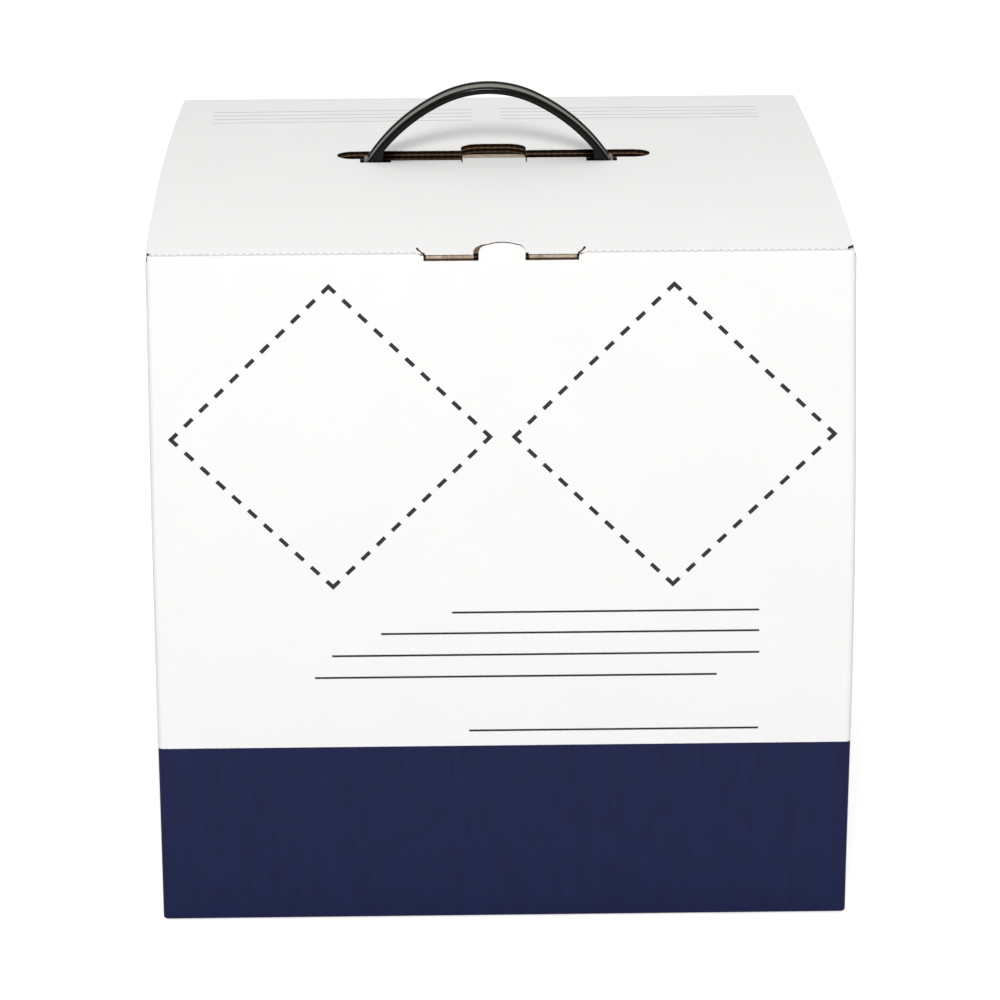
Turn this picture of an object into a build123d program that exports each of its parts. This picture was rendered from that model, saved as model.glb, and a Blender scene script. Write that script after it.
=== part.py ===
"""Insulated specimen transport box: a folded corrugated carton with a carry handle, an
expanded polystyrene (EPS) liner with its own lid, and a sealed jar held in the middle.

Origin: middle of the footprint, on the surface that the box stands on.
X runs to the right along the front, Y from front to back, Z up. Millimetres.
"""
from build123d import *
from math import acos, cos, pi, radians, sin, tan
import os

# ---- carton -------------------------------------------------------------------------------
carton_w = 310.0        # X, over the outer liners
carton_d = 340.0        # Y, over the outer liners
front_h = 309.8         # top fold of the front panel
board = 2.2             # corrugated board, liner to liner
lid_sunk = 0.8          # lid surface below the fold of the front panel
corner_r = 2.5          # outside of the upright folds
fold_bevel = 1.3        # outside of the folds along the floor
fold_gap = 0.3          # running gap between pieces that fold past each other

# ---- lid, tuck flap, dust flaps -----------------------------------------------------------
lid_inset = 0.5         # lid side edge inside the carton's side
tuck_len = 45.0
tuck_root_w = 300.0
tuck_end_w = 290.0
tuck_corner_r = 25.0
tuck_lean = 6.0         # degrees that the closed tuck flap leans inwards
dust_len = 68.0
dust_front_gap = 9.0    # root of the dust flap from the front panel
dust_back_gap = 10.0    # root of the dust flap from the lid fold
dust_front_taper = 8.0  # degrees
dust_back_taper = 44.0  # degrees, so that the opening lid always clears the rising flap
dust_corner_r = 9.0

# ---- front lock ---------------------------------------------------------------------------
lock_w = 67.6           # slot cut through the lid fold
tab_w = 22.6            # tongue of the front panel that stands up through the slot
tab_rise = 4.1          # above the front panel's top fold
tab_shoulder_r = 3.4
tab_crown = 1.1         # height of the shallow arc on top of the tongue
lock_clear = 0.6        # round the tongue
lock_drop = 3.0         # notch each side of the tongue, below the front panel's top fold
relief_r = 22.0         # curved relief cut that ends the slot
relief_w = 1.1
relief_turn = 30.0      # degrees of arc of the relief cut

# ---- carry slit and its finger tongue -----------------------------------------------------
slit_w = 18.0
slit_margin = 7.5       # slit's end from the end of the reinforcement under the lid
slit_y = 35.5           # middle of the slit, behind the middle of the lid
slit_end_r = 8.0
finger_w = 30.0
finger_reach = 14.5     # beyond the far edge of the slit
finger_cut = 9.0        # cuts beside the tongue run on in front of the slit
finger_shoulder_r = 9.0
finger_bend = 9.0       # degrees that the tongue is pressed down
finger_gap = 0.6        # cut all round the tongue
tongue_gap = 0.1        # between the tongue and the second layer under it
patch_gap = 5.0         # glued reinforcement under the lid, from the tips of the dust flaps
patch_d = 84.0
patch_corner_r = 8.0

# ---- carry handle -------------------------------------------------------------------------
handle_x = -2.6         # middle of the arch
handle_rise = 35.6      # top of the arch above the lid
handle_w = 16.4
handle_web = 2.4
handle_rim_h = 3.5      # rims along both long edges
handle_rim_w = 2.2
crown_r = 52.5          # outer radius of the middle of the arch
crown_end = 25.7        # slope where the crown ends and the flanks begin, degrees
flank_r = 87.5          # outer radius of the flanks
handle_travel = 8.0     # up-and-down play
boss = (9.0, 17.4)      # block at each foot: X, Y
boss_proud = 0.6        # above the lid
gusset_rise = 8.0       # web inside each foot, above the lid
gusset_foot = 3.0       # its width at the lid
foot_notch = 8.2        # cut-out for each foot in the slit's near edge
foot_gap = 0.6          # round the foot in its notch
bar_w = 18.0            # cross bar under the lid, X
bar_t = 2.6
bar_lap = 5.8           # bar's ends beyond the notch and the slit
bar_r = 4.0
handle_drop_stop = 0.3  # bar under the reinforcement

# ---- bottom -------------------------------------------------------------------------------
seam_gap = 0.6          # between the two long bottom flaps
minor_len = 112.0
minor_inset = 1.5
glue_flap_w = 34.0
glue_flap_cut = 8.0     # corners cut off its free edge

# ---- EPS liner ----------------------------------------------------------------------------
eps_side_gap = 1.8      # to the side walls
eps_end_gap = 3.3       # to the front and back walls, clear of the glue flap
eps_head = 13.3         # top of the EPS lid under the dust flaps
eps_lid_h = 55.0        # parting plane below the top
eps_floor = 55.0
eps_wall_x = 53.5
eps_wall_y = 54.5
eps_corner_r = 14.0
eps_edge = 4.0          # bevel along the lower and upper edges
cavity_r = 20.0
cavity_bevel = 6.0      # foot of the cavity's walls
lid_step_x = 4.0        # lid edge inside the base edge
lid_step_y = 5.6
plug_h = 15.0
plug_gap = 0.8
plug_draft = 3.0
grip_r = 26.0           # finger recess in the lid's edge
grip_depth = 13.0
grip_h = 26.0
grip_bevel = 6.0
bead_w = 8.0            # raised bead round the mouth, and the groove in the lid over it
bead_h = 4.0
bead_off = 12.0         # bead's inner edge from the mouth
bead_gap = 0.5

# ---- jar, cap, seal, absorbent ------------------------------------------------------------
jar_r = 52.0
jar_wall = 1.9
jar_foot = 2.0          # bevel round the foot
jar_head = 15.6         # neck's rim under the plug of the EPS lid
neck_r = 46.0
neck_h = 21.0
shoulder_h = 9.0
cap_r = 51.0
cap_h = 24.0
cap_wall = 2.2
cap_bevel = 3.0
cap_ribs = 40
cap_rib_rise = 1.1
cap_rib_foot = 2.0      # ribs start above the skirt's lower edge
cap_rib_head = 6.0      # ribs end below the cap's top
seal_t = 1.5
seal_w = 5.0
cap_run = 0.35          # neck to cap
sleeve_t = 3.0
sleeve_drop = 6.0       # below the jar's shoulder
sleeve_gap = 0.3

# ---- locator that keeps the jar in the middle ---------------------------------------------
locator_h = 92.0
locator_gap = 0.5       # to the bevel at the foot of the cavity
locator_hole_gap = 1.0
locator_window_w = 120.0
locator_window_h = 46.0
locator_window_r = 10.0

# ---- derived ------------------------------------------------------------------------------
hw, hd = carton_w / 2, carton_d / 2
in_x, in_y = hw - board, hd - board            # inner faces of the walls
lid_top = front_h - lid_sunk
lid_under = lid_top - board
dust_top = lid_under - fold_gap
dust_under = dust_top - board
floor_top = 2 * board
patch_under = lid_under - board
tuck_face = -in_y + fold_gap                   # outer face of the tuck flap at its fold
slit_near = slit_y - slit_w / 2
slit_far = slit_y + slit_w / 2
finger_end = slit_far + finger_reach
notch_y = slit_near - foot_notch
handle_y = notch_y + foot_gap + boss[1] / 2
cavity_floor = floor_top + eps_floor
patch_w = 2 * (hw - dust_len - patch_gap)
slit_l = patch_w - 2 * slit_margin
eps_w = 2 * (in_x - eps_side_gap)
eps_d = 2 * (in_y - eps_end_gap)
eps_top = dust_under - eps_head
eps_split = eps_top - eps_lid_h
cavity_w = eps_w - 2 * eps_wall_x
cavity_d = eps_d - 2 * eps_wall_y
jar_top = eps_split - plug_h - jar_head
jar_shoulder = jar_top - neck_h - shoulder_h
tuck_mitre = (90 - tuck_lean) / 2              # half of the angle between lid and tuck flap
tuck_setback = board / tan(radians(tuck_mitre))
LOW = (Align.CENTER, Align.CENTER, Align.MIN)
OVER = 1.0              # a cutter stands this far out of what it cuts


def block(x0, x1, y0, y1, z0, z1):
    """Rectangular block between two corners."""
    return Pos((x0 + x1) / 2, (y0 + y1) / 2, z0) * Box(x1 - x0, y1 - y0, z1 - z0, align=LOW)


def along_x(points, x0, x1):
    """Prism on a (Y, Z) outline, from x0 to x1."""
    face = make_face(Polyline(*[(x0, y, z) for y, z in points], close=True))
    return extrude(face, x1 - x0, dir=(1, 0, 0))


def along_y(points, y0, y1):
    """Prism on an (X, Z) outline, from y0 to y1."""
    face = make_face(Polyline(*[(x, y0, z) for x, z in points], close=True))
    return extrude(face, y1 - y0, dir=(0, 1, 0))


def along_z(points, z0, z1):
    """Prism on an (X, Y) outline, from z0 to z1."""
    face = make_face(Polyline(*[(x, y, z0) for x, y in points], close=True))
    return extrude(face, z1 - z0, dir=(0, 0, 1))


def upright(solid):
    """The solid's edges that run along Z."""
    return solid.edges().filter_by(Axis.Z)


# ---- walls --------------------------------------------------------------------------------
def carton_block():
    """Outside of the erected carton, with its folds rounded."""
    body = block(-hw, hw, -hd, hd, 0, front_h + tab_rise)
    body = fillet(upright(body), corner_r)
    low = body.edges().group_by(Axis.Z)[0].filter_by(Axis.X)
    return chamfer(low, fold_bevel)


outside = carton_block()


def end_wall(side):
    """Front (-1) or back (+1) wall, mitred at the upright folds and at the floor fold."""
    plan = [(-hw, side * hd), (hw, side * hd), (in_x, side * in_y), (-in_x, side * in_y)]
    wall = along_z(plan, 0, front_h)
    wall -= along_x([(side * hd, 0), (side * in_y, 0), (side * in_y, board)], -hw, hw)
    return wall


def lock_tongue():
    """Tongue in the front wall's plane: upright sides, round shoulders, shallow crown."""
    half, top = tab_w / 2, front_h + tab_rise
    foot, shoulder = front_h - lock_drop - board, top - tab_crown
    with BuildSketch(Plane.XZ.offset(hd)) as sk:
        with BuildLine():
            Polyline((-half, shoulder), (-half, foot), (half, foot), (half, shoulder))
            ThreePointArc((half, shoulder), (0, top), (-half, shoulder))
        make_face()
        fillet(sk.vertices().group_by(Axis.Y)[-1], tab_shoulder_r)
    return extrude(sk.sketch, -board)


def front_panel():
    """Front wall with the lock notch cut in its top fold and the tongue standing in it."""
    wall = end_wall(-1)
    notch = block(-lock_w / 2 - lock_clear, lock_w / 2 + lock_clear, -hd, -in_y,
                  front_h - lock_drop, front_h)
    return (wall - notch + lock_tongue()) & outside


def back_panel():
    """Back wall, mitred at its top for the lid's fold."""
    wall = end_wall(1) - block(-hw, hw, in_y, hd, lid_top, front_h)
    wall -= along_x([(hd, lid_top), (in_y, lid_top), (in_y, lid_under)], -hw, hw)
    return wall & outside


def side_panel(side):
    """Left (-1) or right (+1) wall, mitred for the dust flap and the short bottom flap."""
    plan = [(side * hw, -hd), (side * hw, hd), (side * in_x, in_y), (side * in_x, -in_y)]
    wall = along_z(plan, board, dust_top)
    for z, rise in ((dust_top, -board), (board, board)):
        wall -= along_y([(side * hw, z), (side * in_x, z), (side * in_x, z + rise)], -hd, hd)
    return wall & outside


def glue_flap():
    """Manufacturer's joint: a strip of the left wall glued inside the back wall."""
    flap = block(-in_x, glue_flap_w - in_x, in_y - board, in_y, floor_top, dust_under - board)
    return chamfer(flap.edges().filter_by(Axis.Y).group_by(Axis.X)[-1], glue_flap_cut)


def long_bottom_flap(side):
    """Outer bottom flap folded from the front (-1) or back (+1) wall."""
    profile = [(side * hd, 0), (side * seam_gap / 2, 0), (side * seam_gap / 2, board),
               (side * in_y, board)]
    return along_x(profile, -hw, hw) & outside


def short_bottom_flap(side):
    """Inner bottom flap folded from the left (-1) or right (+1) wall."""
    tip = in_x - minor_len
    profile = [(side * hw, board), (side * tip, board), (side * tip, floor_top),
               (side * in_x, floor_top)]
    return along_y(profile, minor_inset - in_y, in_y - minor_inset)


# ---- curve of the carry handle ------------------------------------------------------------
def flank_spot(side, slope, depth):
    """(X, Z) on the flank at left (-1) or right (+1) where it has a slope, depth below its outer face.

    The flank's arc is tangent to the end of the crown's arc.
    """
    extra, start = flank_r - crown_r, radians(crown_end)
    x = (flank_r - depth) * sin(slope) - extra * sin(start)
    z = (flank_r - depth) * cos(slope) - extra * cos(start)
    return handle_x + side * x, lid_top + handle_rise - crown_r + z


def flank_slope(height, depth):
    """Slope of a flank where it passes a height, at a depth below its outer face."""
    centre = lid_top + handle_rise - crown_r - (flank_r - crown_r) * cos(radians(crown_end))
    return acos((height - centre) / (flank_r - depth))


def flank_x(side, height, depth):
    """X of a flank at a height, at a depth below its outer face."""
    return flank_spot(side, flank_slope(height, depth), depth)[0]


# ---- lid ----------------------------------------------------------------------------------
def slit_cut(z0, z1, clear):
    """Cutter for the carry slit, the finger tongue's outline and a notch for each foot of the handle."""
    slot = block(-slit_l / 2, slit_l / 2, slit_near, slit_far, z0, z1)
    slot = fillet(upright(slot), slit_end_r)
    half = finger_w / 2 + clear
    bump = block(-half, half, slit_near, finger_end + clear, z0, z1)
    bump = fillet(upright(bump).group_by(Axis.Y)[-1], finger_shoulder_r + clear)
    cut = slot + bump
    for side in (-1, 1):
        beside = sorted((side * finger_w / 2, side * half))
        cut += block(*beside, slit_near - finger_cut, slit_near, z0, z1)
        inner = flank_x(side, lid_top + handle_travel, handle_rim_h) - side * foot_gap
        outer = flank_x(side, patch_under, 0) + side * foot_gap
        cut += block(*sorted((inner, outer)), notch_y, slit_y, z0, z1)
    return cut


def finger_tongue(z_top, thick):
    """Tongue hinged at the slit's near edge and pressed down by finger_bend."""
    half, length = finger_w / 2, finger_end - slit_near
    plate = block(-half, half, -board, length, -thick, 0)
    plate = fillet(upright(plate).group_by(Axis.Y)[-1], finger_shoulder_r)
    plate = Pos(0, slit_near, z_top) * Rot(-finger_bend, 0, 0) * plate
    return plate & block(-half, half, slit_near - board, finger_end, 0, z_top)


def relief_cut(side):
    """Curved relief that ends the lock slot: it leaves the fold outwards and turns back into the lid."""
    turn, far = radians(relief_turn), 3 * relief_r
    ring = Cylinder(relief_r + relief_w / 2, 3 * board) - Cylinder(relief_r - relief_w / 2, 3 * board)
    wedge = along_z([(0, 0), (side * far, 0), (side * far, -far * tan(turn))], -3 * board, 3 * board)
    cx = side * (lock_w / 2 - relief_r * cos(turn))
    return Pos(cx, tuck_face + relief_r * sin(turn), lid_top) * (ring & wedge)


def lid_panel():
    """Lid: back fold mitred, front fold mitred to the leaning tuck flap, lock slot and slit."""
    profile = [(hd, lid_top), (tuck_face, lid_top), (tuck_face + tuck_setback, lid_under),
               (in_y, lid_under)]
    x1 = hw - lid_inset
    lid = along_x(profile, -x1, x1)
    lips = block(-lock_w / 2, lock_w / 2, -hd, tuck_face + 2 * board, lid_under, lid_top)
    gate = block(-tab_w / 2 - lock_clear, tab_w / 2 + lock_clear, -hd, -in_y + lock_clear,
                 lid_under, lid_top)
    lid = lid + lips - gate
    for side in (-1, 1):
        lid -= relief_cut(side)
    lid -= slit_cut(lid_under, lid_top, finger_gap)
    return lid + finger_tongue(lid_top, board - tongue_gap)


def handle_reinforcement():
    """Second layer glued under the lid, with the same slit and its own tongue."""
    patch = block(-patch_w / 2, patch_w / 2, slit_y - patch_d / 2, slit_y + patch_d / 2,
                  patch_under, lid_under)
    patch = fillet(upright(patch), patch_corner_r)
    patch -= slit_cut(patch_under, lid_under, finger_gap)
    return patch + finger_tongue(lid_under, board)


def tuck_flap():
    """Flap that goes in behind the front wall, with its ends tapered and its corners round."""
    profile = [(0, 0), (0, -tuck_len), (board, -tuck_len), (board, -tuck_setback)]
    flap = along_x(profile, -tuck_root_w / 2, tuck_root_w / 2)
    outline = Polyline((-tuck_root_w / 2, 0), (tuck_root_w / 2, 0), (tuck_end_w / 2, -tuck_len),
                       (-tuck_end_w / 2, -tuck_len), close=True)
    face = fillet(make_face(outline).vertices().group_by(Axis.Y)[0], tuck_corner_r)
    flap &= extrude(Plane((0, -1, 0), x_dir=(1, 0, 0), z_dir=(0, -1, 0)) * face, -board - OVER)
    slot = block(-lock_w / 2 - lock_clear, lock_w / 2 + lock_clear, -OVER, 2 * board,
                 -board - lock_drop, OVER)
    return Pos(0, tuck_face, lid_top) * Rot(tuck_lean, 0, 0) * (flap - slot)


def dust_flap(side):
    """Flap folded in from the left (-1) or right (+1) wall, under the lid."""
    y0, y1 = -in_y + dust_front_gap, in_y - dust_back_gap
    tip = dust_len
    root = side * hw
    y0_tip = y0 + tip * tan(radians(dust_front_taper))
    y1_tip = y1 - tip * tan(radians(dust_back_taper))
    plan = make_face(Polyline((root, y0), (root - side * tip, y0_tip),
                              (root - side * tip, y1_tip), (root, y1), close=True))
    corners = plan.vertices().sort_by(lambda v: -side * v.X)[-2:]
    plan = fillet(corners, dust_corner_r)
    flap = extrude(Pos(0, 0, dust_under) * plan, board)
    flap -= along_y([(root, dust_top), (root, dust_under), (side * in_x, dust_under)], -hd, hd)
    return flap


# ---- carry handle -------------------------------------------------------------------------
def arch_band(depth_out, depth_in, y0, y1, foot):
    """Arch between two depths below its outer face, from y0 to y1, cut level at its feet."""
    feet = []
    with BuildSketch(Plane.XZ.offset(-y0)) as sk:
        with BuildLine():
            for depth in (depth_out, depth_in):
                crown = []
                for side in (-1, 1):
                    start, end = radians(crown_end), flank_slope(foot, depth)
                    flank = [flank_spot(side, slope, depth) for slope in (start, (start + end) / 2, end)]
                    ThreePointArc(*flank)
                    crown.append(flank[0])
                    feet.append(flank[-1])
                ThreePointArc(crown[0], (handle_x, lid_top + handle_rise - depth), crown[1])
            Line(feet[0], feet[2])
            Line(feet[1], feet[3])
        make_face()
    return extrude(sk.sketch, -(y1 - y0))


def carry_handle():
    """Moulded strap: thin web between two rims, with a boss, a gusset and a cross bar at each foot."""
    y0, y1 = handle_y - handle_w / 2, handle_y + handle_w / 2
    sunk, middle = (handle_rim_h - handle_web) / 2, handle_rim_h / 2
    bar_top = patch_under - handle_drop_stop
    bar_under = bar_top - bar_t
    strap = arch_band(sunk, sunk + handle_web, y0, y1, bar_under)
    for edge in (y0, y1 - handle_rim_w):
        strap += arch_band(0, handle_rim_h, edge, edge + handle_rim_w, bar_under)
    for side in (-1, 1):
        x = flank_x(side, lid_top, middle)
        foot = block(x - boss[0] / 2, x + boss[0] / 2, handle_y - boss[1] / 2, handle_y + boss[1] / 2,
                     bar_under, lid_top + boss_proud)
        inner = flank_x(side, lid_top, handle_rim_h) - side * gusset_foot
        high = lid_top + gusset_rise
        gusset = along_y([(x, lid_top), (inner, lid_top), (flank_x(side, high, middle), high)], y0, y1)
        bar = block(x - bar_w / 2, x + bar_w / 2, notch_y - bar_lap, slit_far + bar_lap, bar_under, bar_top)
        strap += foot + gusset + fillet(upright(bar), bar_r)
    return strap


# ---- EPS liner ----------------------------------------------------------------------------
def rounded_block(w, d, z0, z1, r):
    """Block with round upright edges, centred on the axis."""
    solid = block(-w / 2, w / 2, -d / 2, d / 2, z0, z1)
    return fillet(upright(solid), r)


def bead(z0, height, grow):
    """Frame that runs round the mouth: the raised bead, or the groove over it."""
    inner = bead_off - grow
    outer = bead_off + bead_w + grow
    return (rounded_block(cavity_w + 2 * outer, cavity_d + 2 * outer, z0, z0 + height, cavity_r + outer)
            - rounded_block(cavity_w + 2 * inner, cavity_d + 2 * inner, z0, z0 + height,
                            cavity_r + inner))


def insulated_base():
    """Thick-walled EPS tub with a raised bead round its mouth."""
    tub = rounded_block(eps_w, eps_d, floor_top, eps_split, eps_corner_r)
    tub = chamfer(tub.faces().sort_by(Axis.Z)[0].edges(), eps_edge)
    hollow = rounded_block(cavity_w, cavity_d, cavity_floor, eps_split + OVER, cavity_r)
    hollow = chamfer(hollow.faces().sort_by(Axis.Z)[0].edges(), cavity_bevel)
    return tub - hollow + bead(eps_split, bead_h, 0)


def insulated_lid():
    """EPS lid: stepped plug, groove over the bead, finger recesses at left and right."""
    w, d = eps_w - 2 * lid_step_x, eps_d - 2 * lid_step_y
    plate = rounded_block(w, d, eps_split, eps_top, eps_corner_r)
    plate = chamfer(plate.faces().sort_by(Axis.Z)[-1].edges(), eps_edge)
    plate -= bead(eps_split, bead_h + bead_gap, bead_gap)
    for side in (-1, 1):
        bowl = Cylinder(grip_r, grip_h, align=LOW)
        bowl = chamfer(bowl.faces().sort_by(Axis.Z)[-1].edges(), grip_bevel)
        plate -= Pos(side * (w / 2 + grip_r - grip_depth), 0, eps_split) * bowl
    mouth = rounded_block(cavity_w - 2 * plug_gap, cavity_d - 2 * plug_gap,
                          eps_split - plug_h, eps_split, cavity_r - plug_gap)
    return plate + chamfer(mouth.faces().sort_by(Axis.Z)[0].edges(), plug_draft)


# ---- jar ----------------------------------------------------------------------------------
def turned(points):
    """Solid of revolution about Z on an (R, Z) outline."""
    face = make_face(Polyline(*[(r, 0, z) for r, z in points], close=True))
    return revolve(face, Axis.Z)


def jar_skin(wall):
    """Points up the jar from below its shoulder to its rim, inside the outer skin by wall."""
    slope = wall / 2
    return [(jar_r - wall, jar_shoulder - slope), (neck_r - wall, jar_shoulder + shoulder_h - slope),
            (neck_r - wall, jar_top)]


def secondary_jar():
    """Round jar with a bevelled foot, a flat floor inside, a shoulder and a wide neck."""
    floor = cavity_floor + jar_wall
    outer = [(0, cavity_floor), (jar_r - jar_foot, cavity_floor), (jar_r, cavity_floor + jar_foot)]
    inner = [(0, floor), (jar_r - jar_wall, floor)]
    return turned(outer + jar_skin(0) + (inner + jar_skin(jar_wall))[::-1])


def jar_cap():
    """Screw cap: a cup over the neck with grip ribs round its skirt."""
    z1 = jar_top + seal_t + cap_wall
    z0 = z1 - cap_h
    bore = neck_r + cap_run
    skirt = turned([(bore, z0), (cap_r, z0), (cap_r, z1 - cap_bevel), (cap_r - cap_bevel, z1), (0, z1),
                    (0, z1 - cap_wall), (bore, z1 - cap_wall)])
    pitch = 2 * pi / cap_ribs
    teeth = [(r * cos(a), r * sin(a)) for i in range(cap_ribs)
             for r, a in ((cap_r, i * pitch), (cap_r + cap_rib_rise, (i + 0.25) * pitch),
                          (cap_r + cap_rib_rise, (i + 0.5) * pitch), (cap_r, (i + 0.75) * pitch))]
    low, high = z0 + cap_rib_foot, z1 - cap_rib_head
    ribs = along_z(teeth, low, high) - Pos(0, 0, low) * Cylinder(bore, high - low, align=LOW)
    return skirt + ribs


def jar_seal():
    """Flat ring clamped between the neck's rim and the cap."""
    return turned([(neck_r - seal_w, jar_top), (neck_r, jar_top), (neck_r, jar_top + seal_t),
                   (neck_r - seal_w, jar_top + seal_t)])


def absorbent_sleeve():
    """Absorbent sheet rolled inside the jar wall."""
    r = jar_r - jar_wall - sleeve_gap
    z0, z1 = cavity_floor + jar_wall + jar_foot, jar_shoulder - sleeve_drop
    return turned([(r - sleeve_t, z0), (r, z0), (r, z1), (r - sleeve_t, z1)])


def jar_locator():
    """Folded board bridge: deck with a hole for the jar, on a leg at each side."""
    half = cavity_w / 2 - cavity_bevel - locator_gap
    deep = cavity_d / 2 - cavity_r
    z0 = cavity_floor
    z1 = z0 + locator_h
    shell = block(-half, half, -deep, deep, z0, z1) - block(board - half, half - board, -deep, deep,
                                                           z0, z1 - board)
    shell = chamfer(shell.edges().filter_by(Axis.Y).group_by(Axis.Z)[-1], fold_bevel)
    shell -= Pos(0, 0, z1 - board) * Cylinder(jar_r + locator_hole_gap, board, align=LOW)
    window = block(-half, half, -locator_window_w / 2, locator_window_w / 2,
                   z0 + (locator_h - locator_window_h) / 2, z0 + (locator_h + locator_window_h) / 2)
    window = fillet(window.edges().filter_by(Axis.X), locator_window_r)
    return shell - window


# ---- write --------------------------------------------------------------------------------
nodes = {
    "front_panel": front_panel(),
    "back_panel": back_panel(),
    "left_panel": side_panel(-1),
    "right_panel": side_panel(1),
    "glue_flap": glue_flap(),
    "bottom_flap_front": long_bottom_flap(-1),
    "bottom_flap_back": long_bottom_flap(1),
    "bottom_flap_left": short_bottom_flap(-1),
    "bottom_flap_right": short_bottom_flap(1),
    "lid_panel": lid_panel(),
    "handle_reinforcement": handle_reinforcement(),
    "tuck_flap": tuck_flap(),
    "dust_flap_left": dust_flap(-1),
    "dust_flap_right": dust_flap(1),
    "carry_handle": carry_handle(),
    "insulated_base": insulated_base(),
    "insulated_lid": insulated_lid(),
    "jar_locator": jar_locator(),
    "secondary_jar": secondary_jar(),
    "jar_cap": jar_cap(),
    "jar_seal": jar_seal(),
    "absorbent_sleeve": absorbent_sleeve(),
}

os.makedirs("parts", exist_ok=True)
for name, shape in nodes.items():
    export_step(shape, f"parts/{name}.step")
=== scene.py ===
from math import cos, pi, radians, sin, tan

import bmesh
import bpy
import numpy as np
from mathutils import Matrix, Vector
from mathutils.geometry import delaunay_2d_cdt


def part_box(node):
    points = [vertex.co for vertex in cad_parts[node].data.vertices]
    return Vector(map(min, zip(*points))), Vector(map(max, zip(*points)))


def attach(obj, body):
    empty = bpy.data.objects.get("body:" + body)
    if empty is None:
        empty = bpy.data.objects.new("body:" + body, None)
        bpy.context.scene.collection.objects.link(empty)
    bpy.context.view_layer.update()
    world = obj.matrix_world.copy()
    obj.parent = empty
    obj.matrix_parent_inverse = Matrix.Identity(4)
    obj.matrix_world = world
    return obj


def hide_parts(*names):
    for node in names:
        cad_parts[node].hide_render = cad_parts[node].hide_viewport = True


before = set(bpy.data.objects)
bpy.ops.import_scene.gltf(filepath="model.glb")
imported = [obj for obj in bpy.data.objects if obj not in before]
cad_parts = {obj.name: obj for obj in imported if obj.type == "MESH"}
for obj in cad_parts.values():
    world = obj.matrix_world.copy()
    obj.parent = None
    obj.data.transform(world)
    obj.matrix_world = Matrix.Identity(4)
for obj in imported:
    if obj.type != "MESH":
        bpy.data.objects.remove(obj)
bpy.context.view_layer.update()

bl_info = {
    "name": "Specimen transport box",
    "version": (1, 0, 0),
    "blender": (4, 5, 0),
    "location": "3D View > Sidebar > Transport box",
    "description": "Corrugated transport box with real flutes, print, a moulded handle and a foam liner",
    "category": "Object",
}

# ---- sizes read from the frame; flat patterns are in millimetres, the scene in metres ---------
MM = 0.001


def low(node):
    """Lowest corner of a CAD node at rest, in millimetres."""
    return Vector(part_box(node)[0]) / MM


def high(node):
    """Highest corner of a CAD node at rest, in millimetres."""
    return Vector(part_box(node)[1]) / MM


LEFT, RIGHT = low("left_panel").x, high("right_panel").x
FRONT, BACK = low("front_panel").y, high("back_panel").y
BOARD = high("left_panel").x - LEFT          # board thickness, liner to liner
LID_TOP = high("back_panel").z
LID_SIDE = high("lid_panel").x
DUST_TOP = high("dust_flap_left").z
HALF_W = (RIGHT - LEFT) / 2
HALF_D = (BACK - FRONT) / 2
IN_X, IN_Y = HALF_W - BOARD, HALF_D - BOARD
SIDES = ((-1, "left"), (1, "right"))

# ---- folds and cuts, as the carton is made --------------------------------------------------
LINER_T = 0.3                                # paper of each liner
SKIN_DROP = 0.02                             # printed liner over the kraft core
CORNER_R = 2.5                               # outside of the upright folds
FOOT_R = 1.3                                 # outside of the folds along the floor
FOLD_TOP = LID_TOP + 0.8                     # top fold of the front panel
ROLL_R = 1.1                                 # front panel's liner rolled over its top edge
ROLL_NEAR, ROLL_CORE = 2.5, 0.4              # below the roll: where its fine rows start, where the kraft ends
FOLD_SHADE_AT = FOLD_TOP + 0.2                  # painted shade line along the front panel's top fold
CORE_SHORT = 1.2                             # side walls' kraft ends below the dust flaps
TONGUE_RISE = high("front_panel").z - FOLD_TOP
TONGUE_W, TONGUE_SHOULDER, TONGUE_CROWN = 22.6, 3.4, 1.1
TONGUE_WORN = (1.4, 0.8)                     # lost from the tongue's left and right edges
LOCK_W, LOCK_DROP, LOCK_CLEAR, LOCK_SEAM = 67.6, 3.8, 0.6, 0.15
HOOK, HOOK_TOP, HOOK_DROP = 2.2, 0.2, 1.3    # notch's ends turn up and outwards
RELIEF_R, RELIEF_W, RELIEF_TURN = 22.0, 1.1, radians(30)
LID_CUTS = (1.8, 3.2)                        # small cuts at the lid's front corners
TORN = ((-0.4, 0.0), (-0.2, 7.0), (0.9, 13.0), (3.4, 18.0), (7.5, 20.6), (11.0, 21.2), (7.5, 18.5),
        (4.0, 13.0), (2.4, 6.0))             # torn paper: from the gate's left edge and back from the front
TORN_FOOT = 2.2                              # where the tear ends at the tongue
RUBBED_T, RUBBED_PROUD, RUBBED_R = 0.3, 0.03, 0.1   # rubbed cut edges along the lock's lips and notch
RUBBED_LIP, RUBBED_NOTCH = (1.9, 0.55), (0.35, 1.85)    # from and to: below the lid, behind the front
RUBBED_GAPS = (0.2, 0.9)                     # to the gate and to the end of the lock
TUCK_R = 2.6                                 # lid's fold into the tuck flap
TUCK_FACE, TUCK_LEAN = -IN_Y + 0.3, radians(6)
TUCK_HALF, TUCK_LEN, TUCK_END_R = (150.0, 145.0), 45.0, 25.0
DUST_LEN, DUST_END_R = 68.0, 9.0
DUST_SETBACK, DUST_TAPER = (9.0, 10.0), (radians(8), radians(44))   # at its front and its back
OUTER_FLAP_GAP, INNER_FLAP_GAP, INNER_FLAP_LEN = 0.3, 1.5, 114.2    # bottom flaps
SLIT_Y, SLIT_W, SLIT_HALF, SLIT_END_R = 35.5, 18.0, 74.5, 8.0
SLIT_NEAR, SLIT_FAR = SLIT_Y - SLIT_W / 2, SLIT_Y + SLIT_W / 2
SLIT_SAG, SAG_RAMP = 0.9, 1.0                # strip in front of the slit, pressed down beside the left foot
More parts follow.
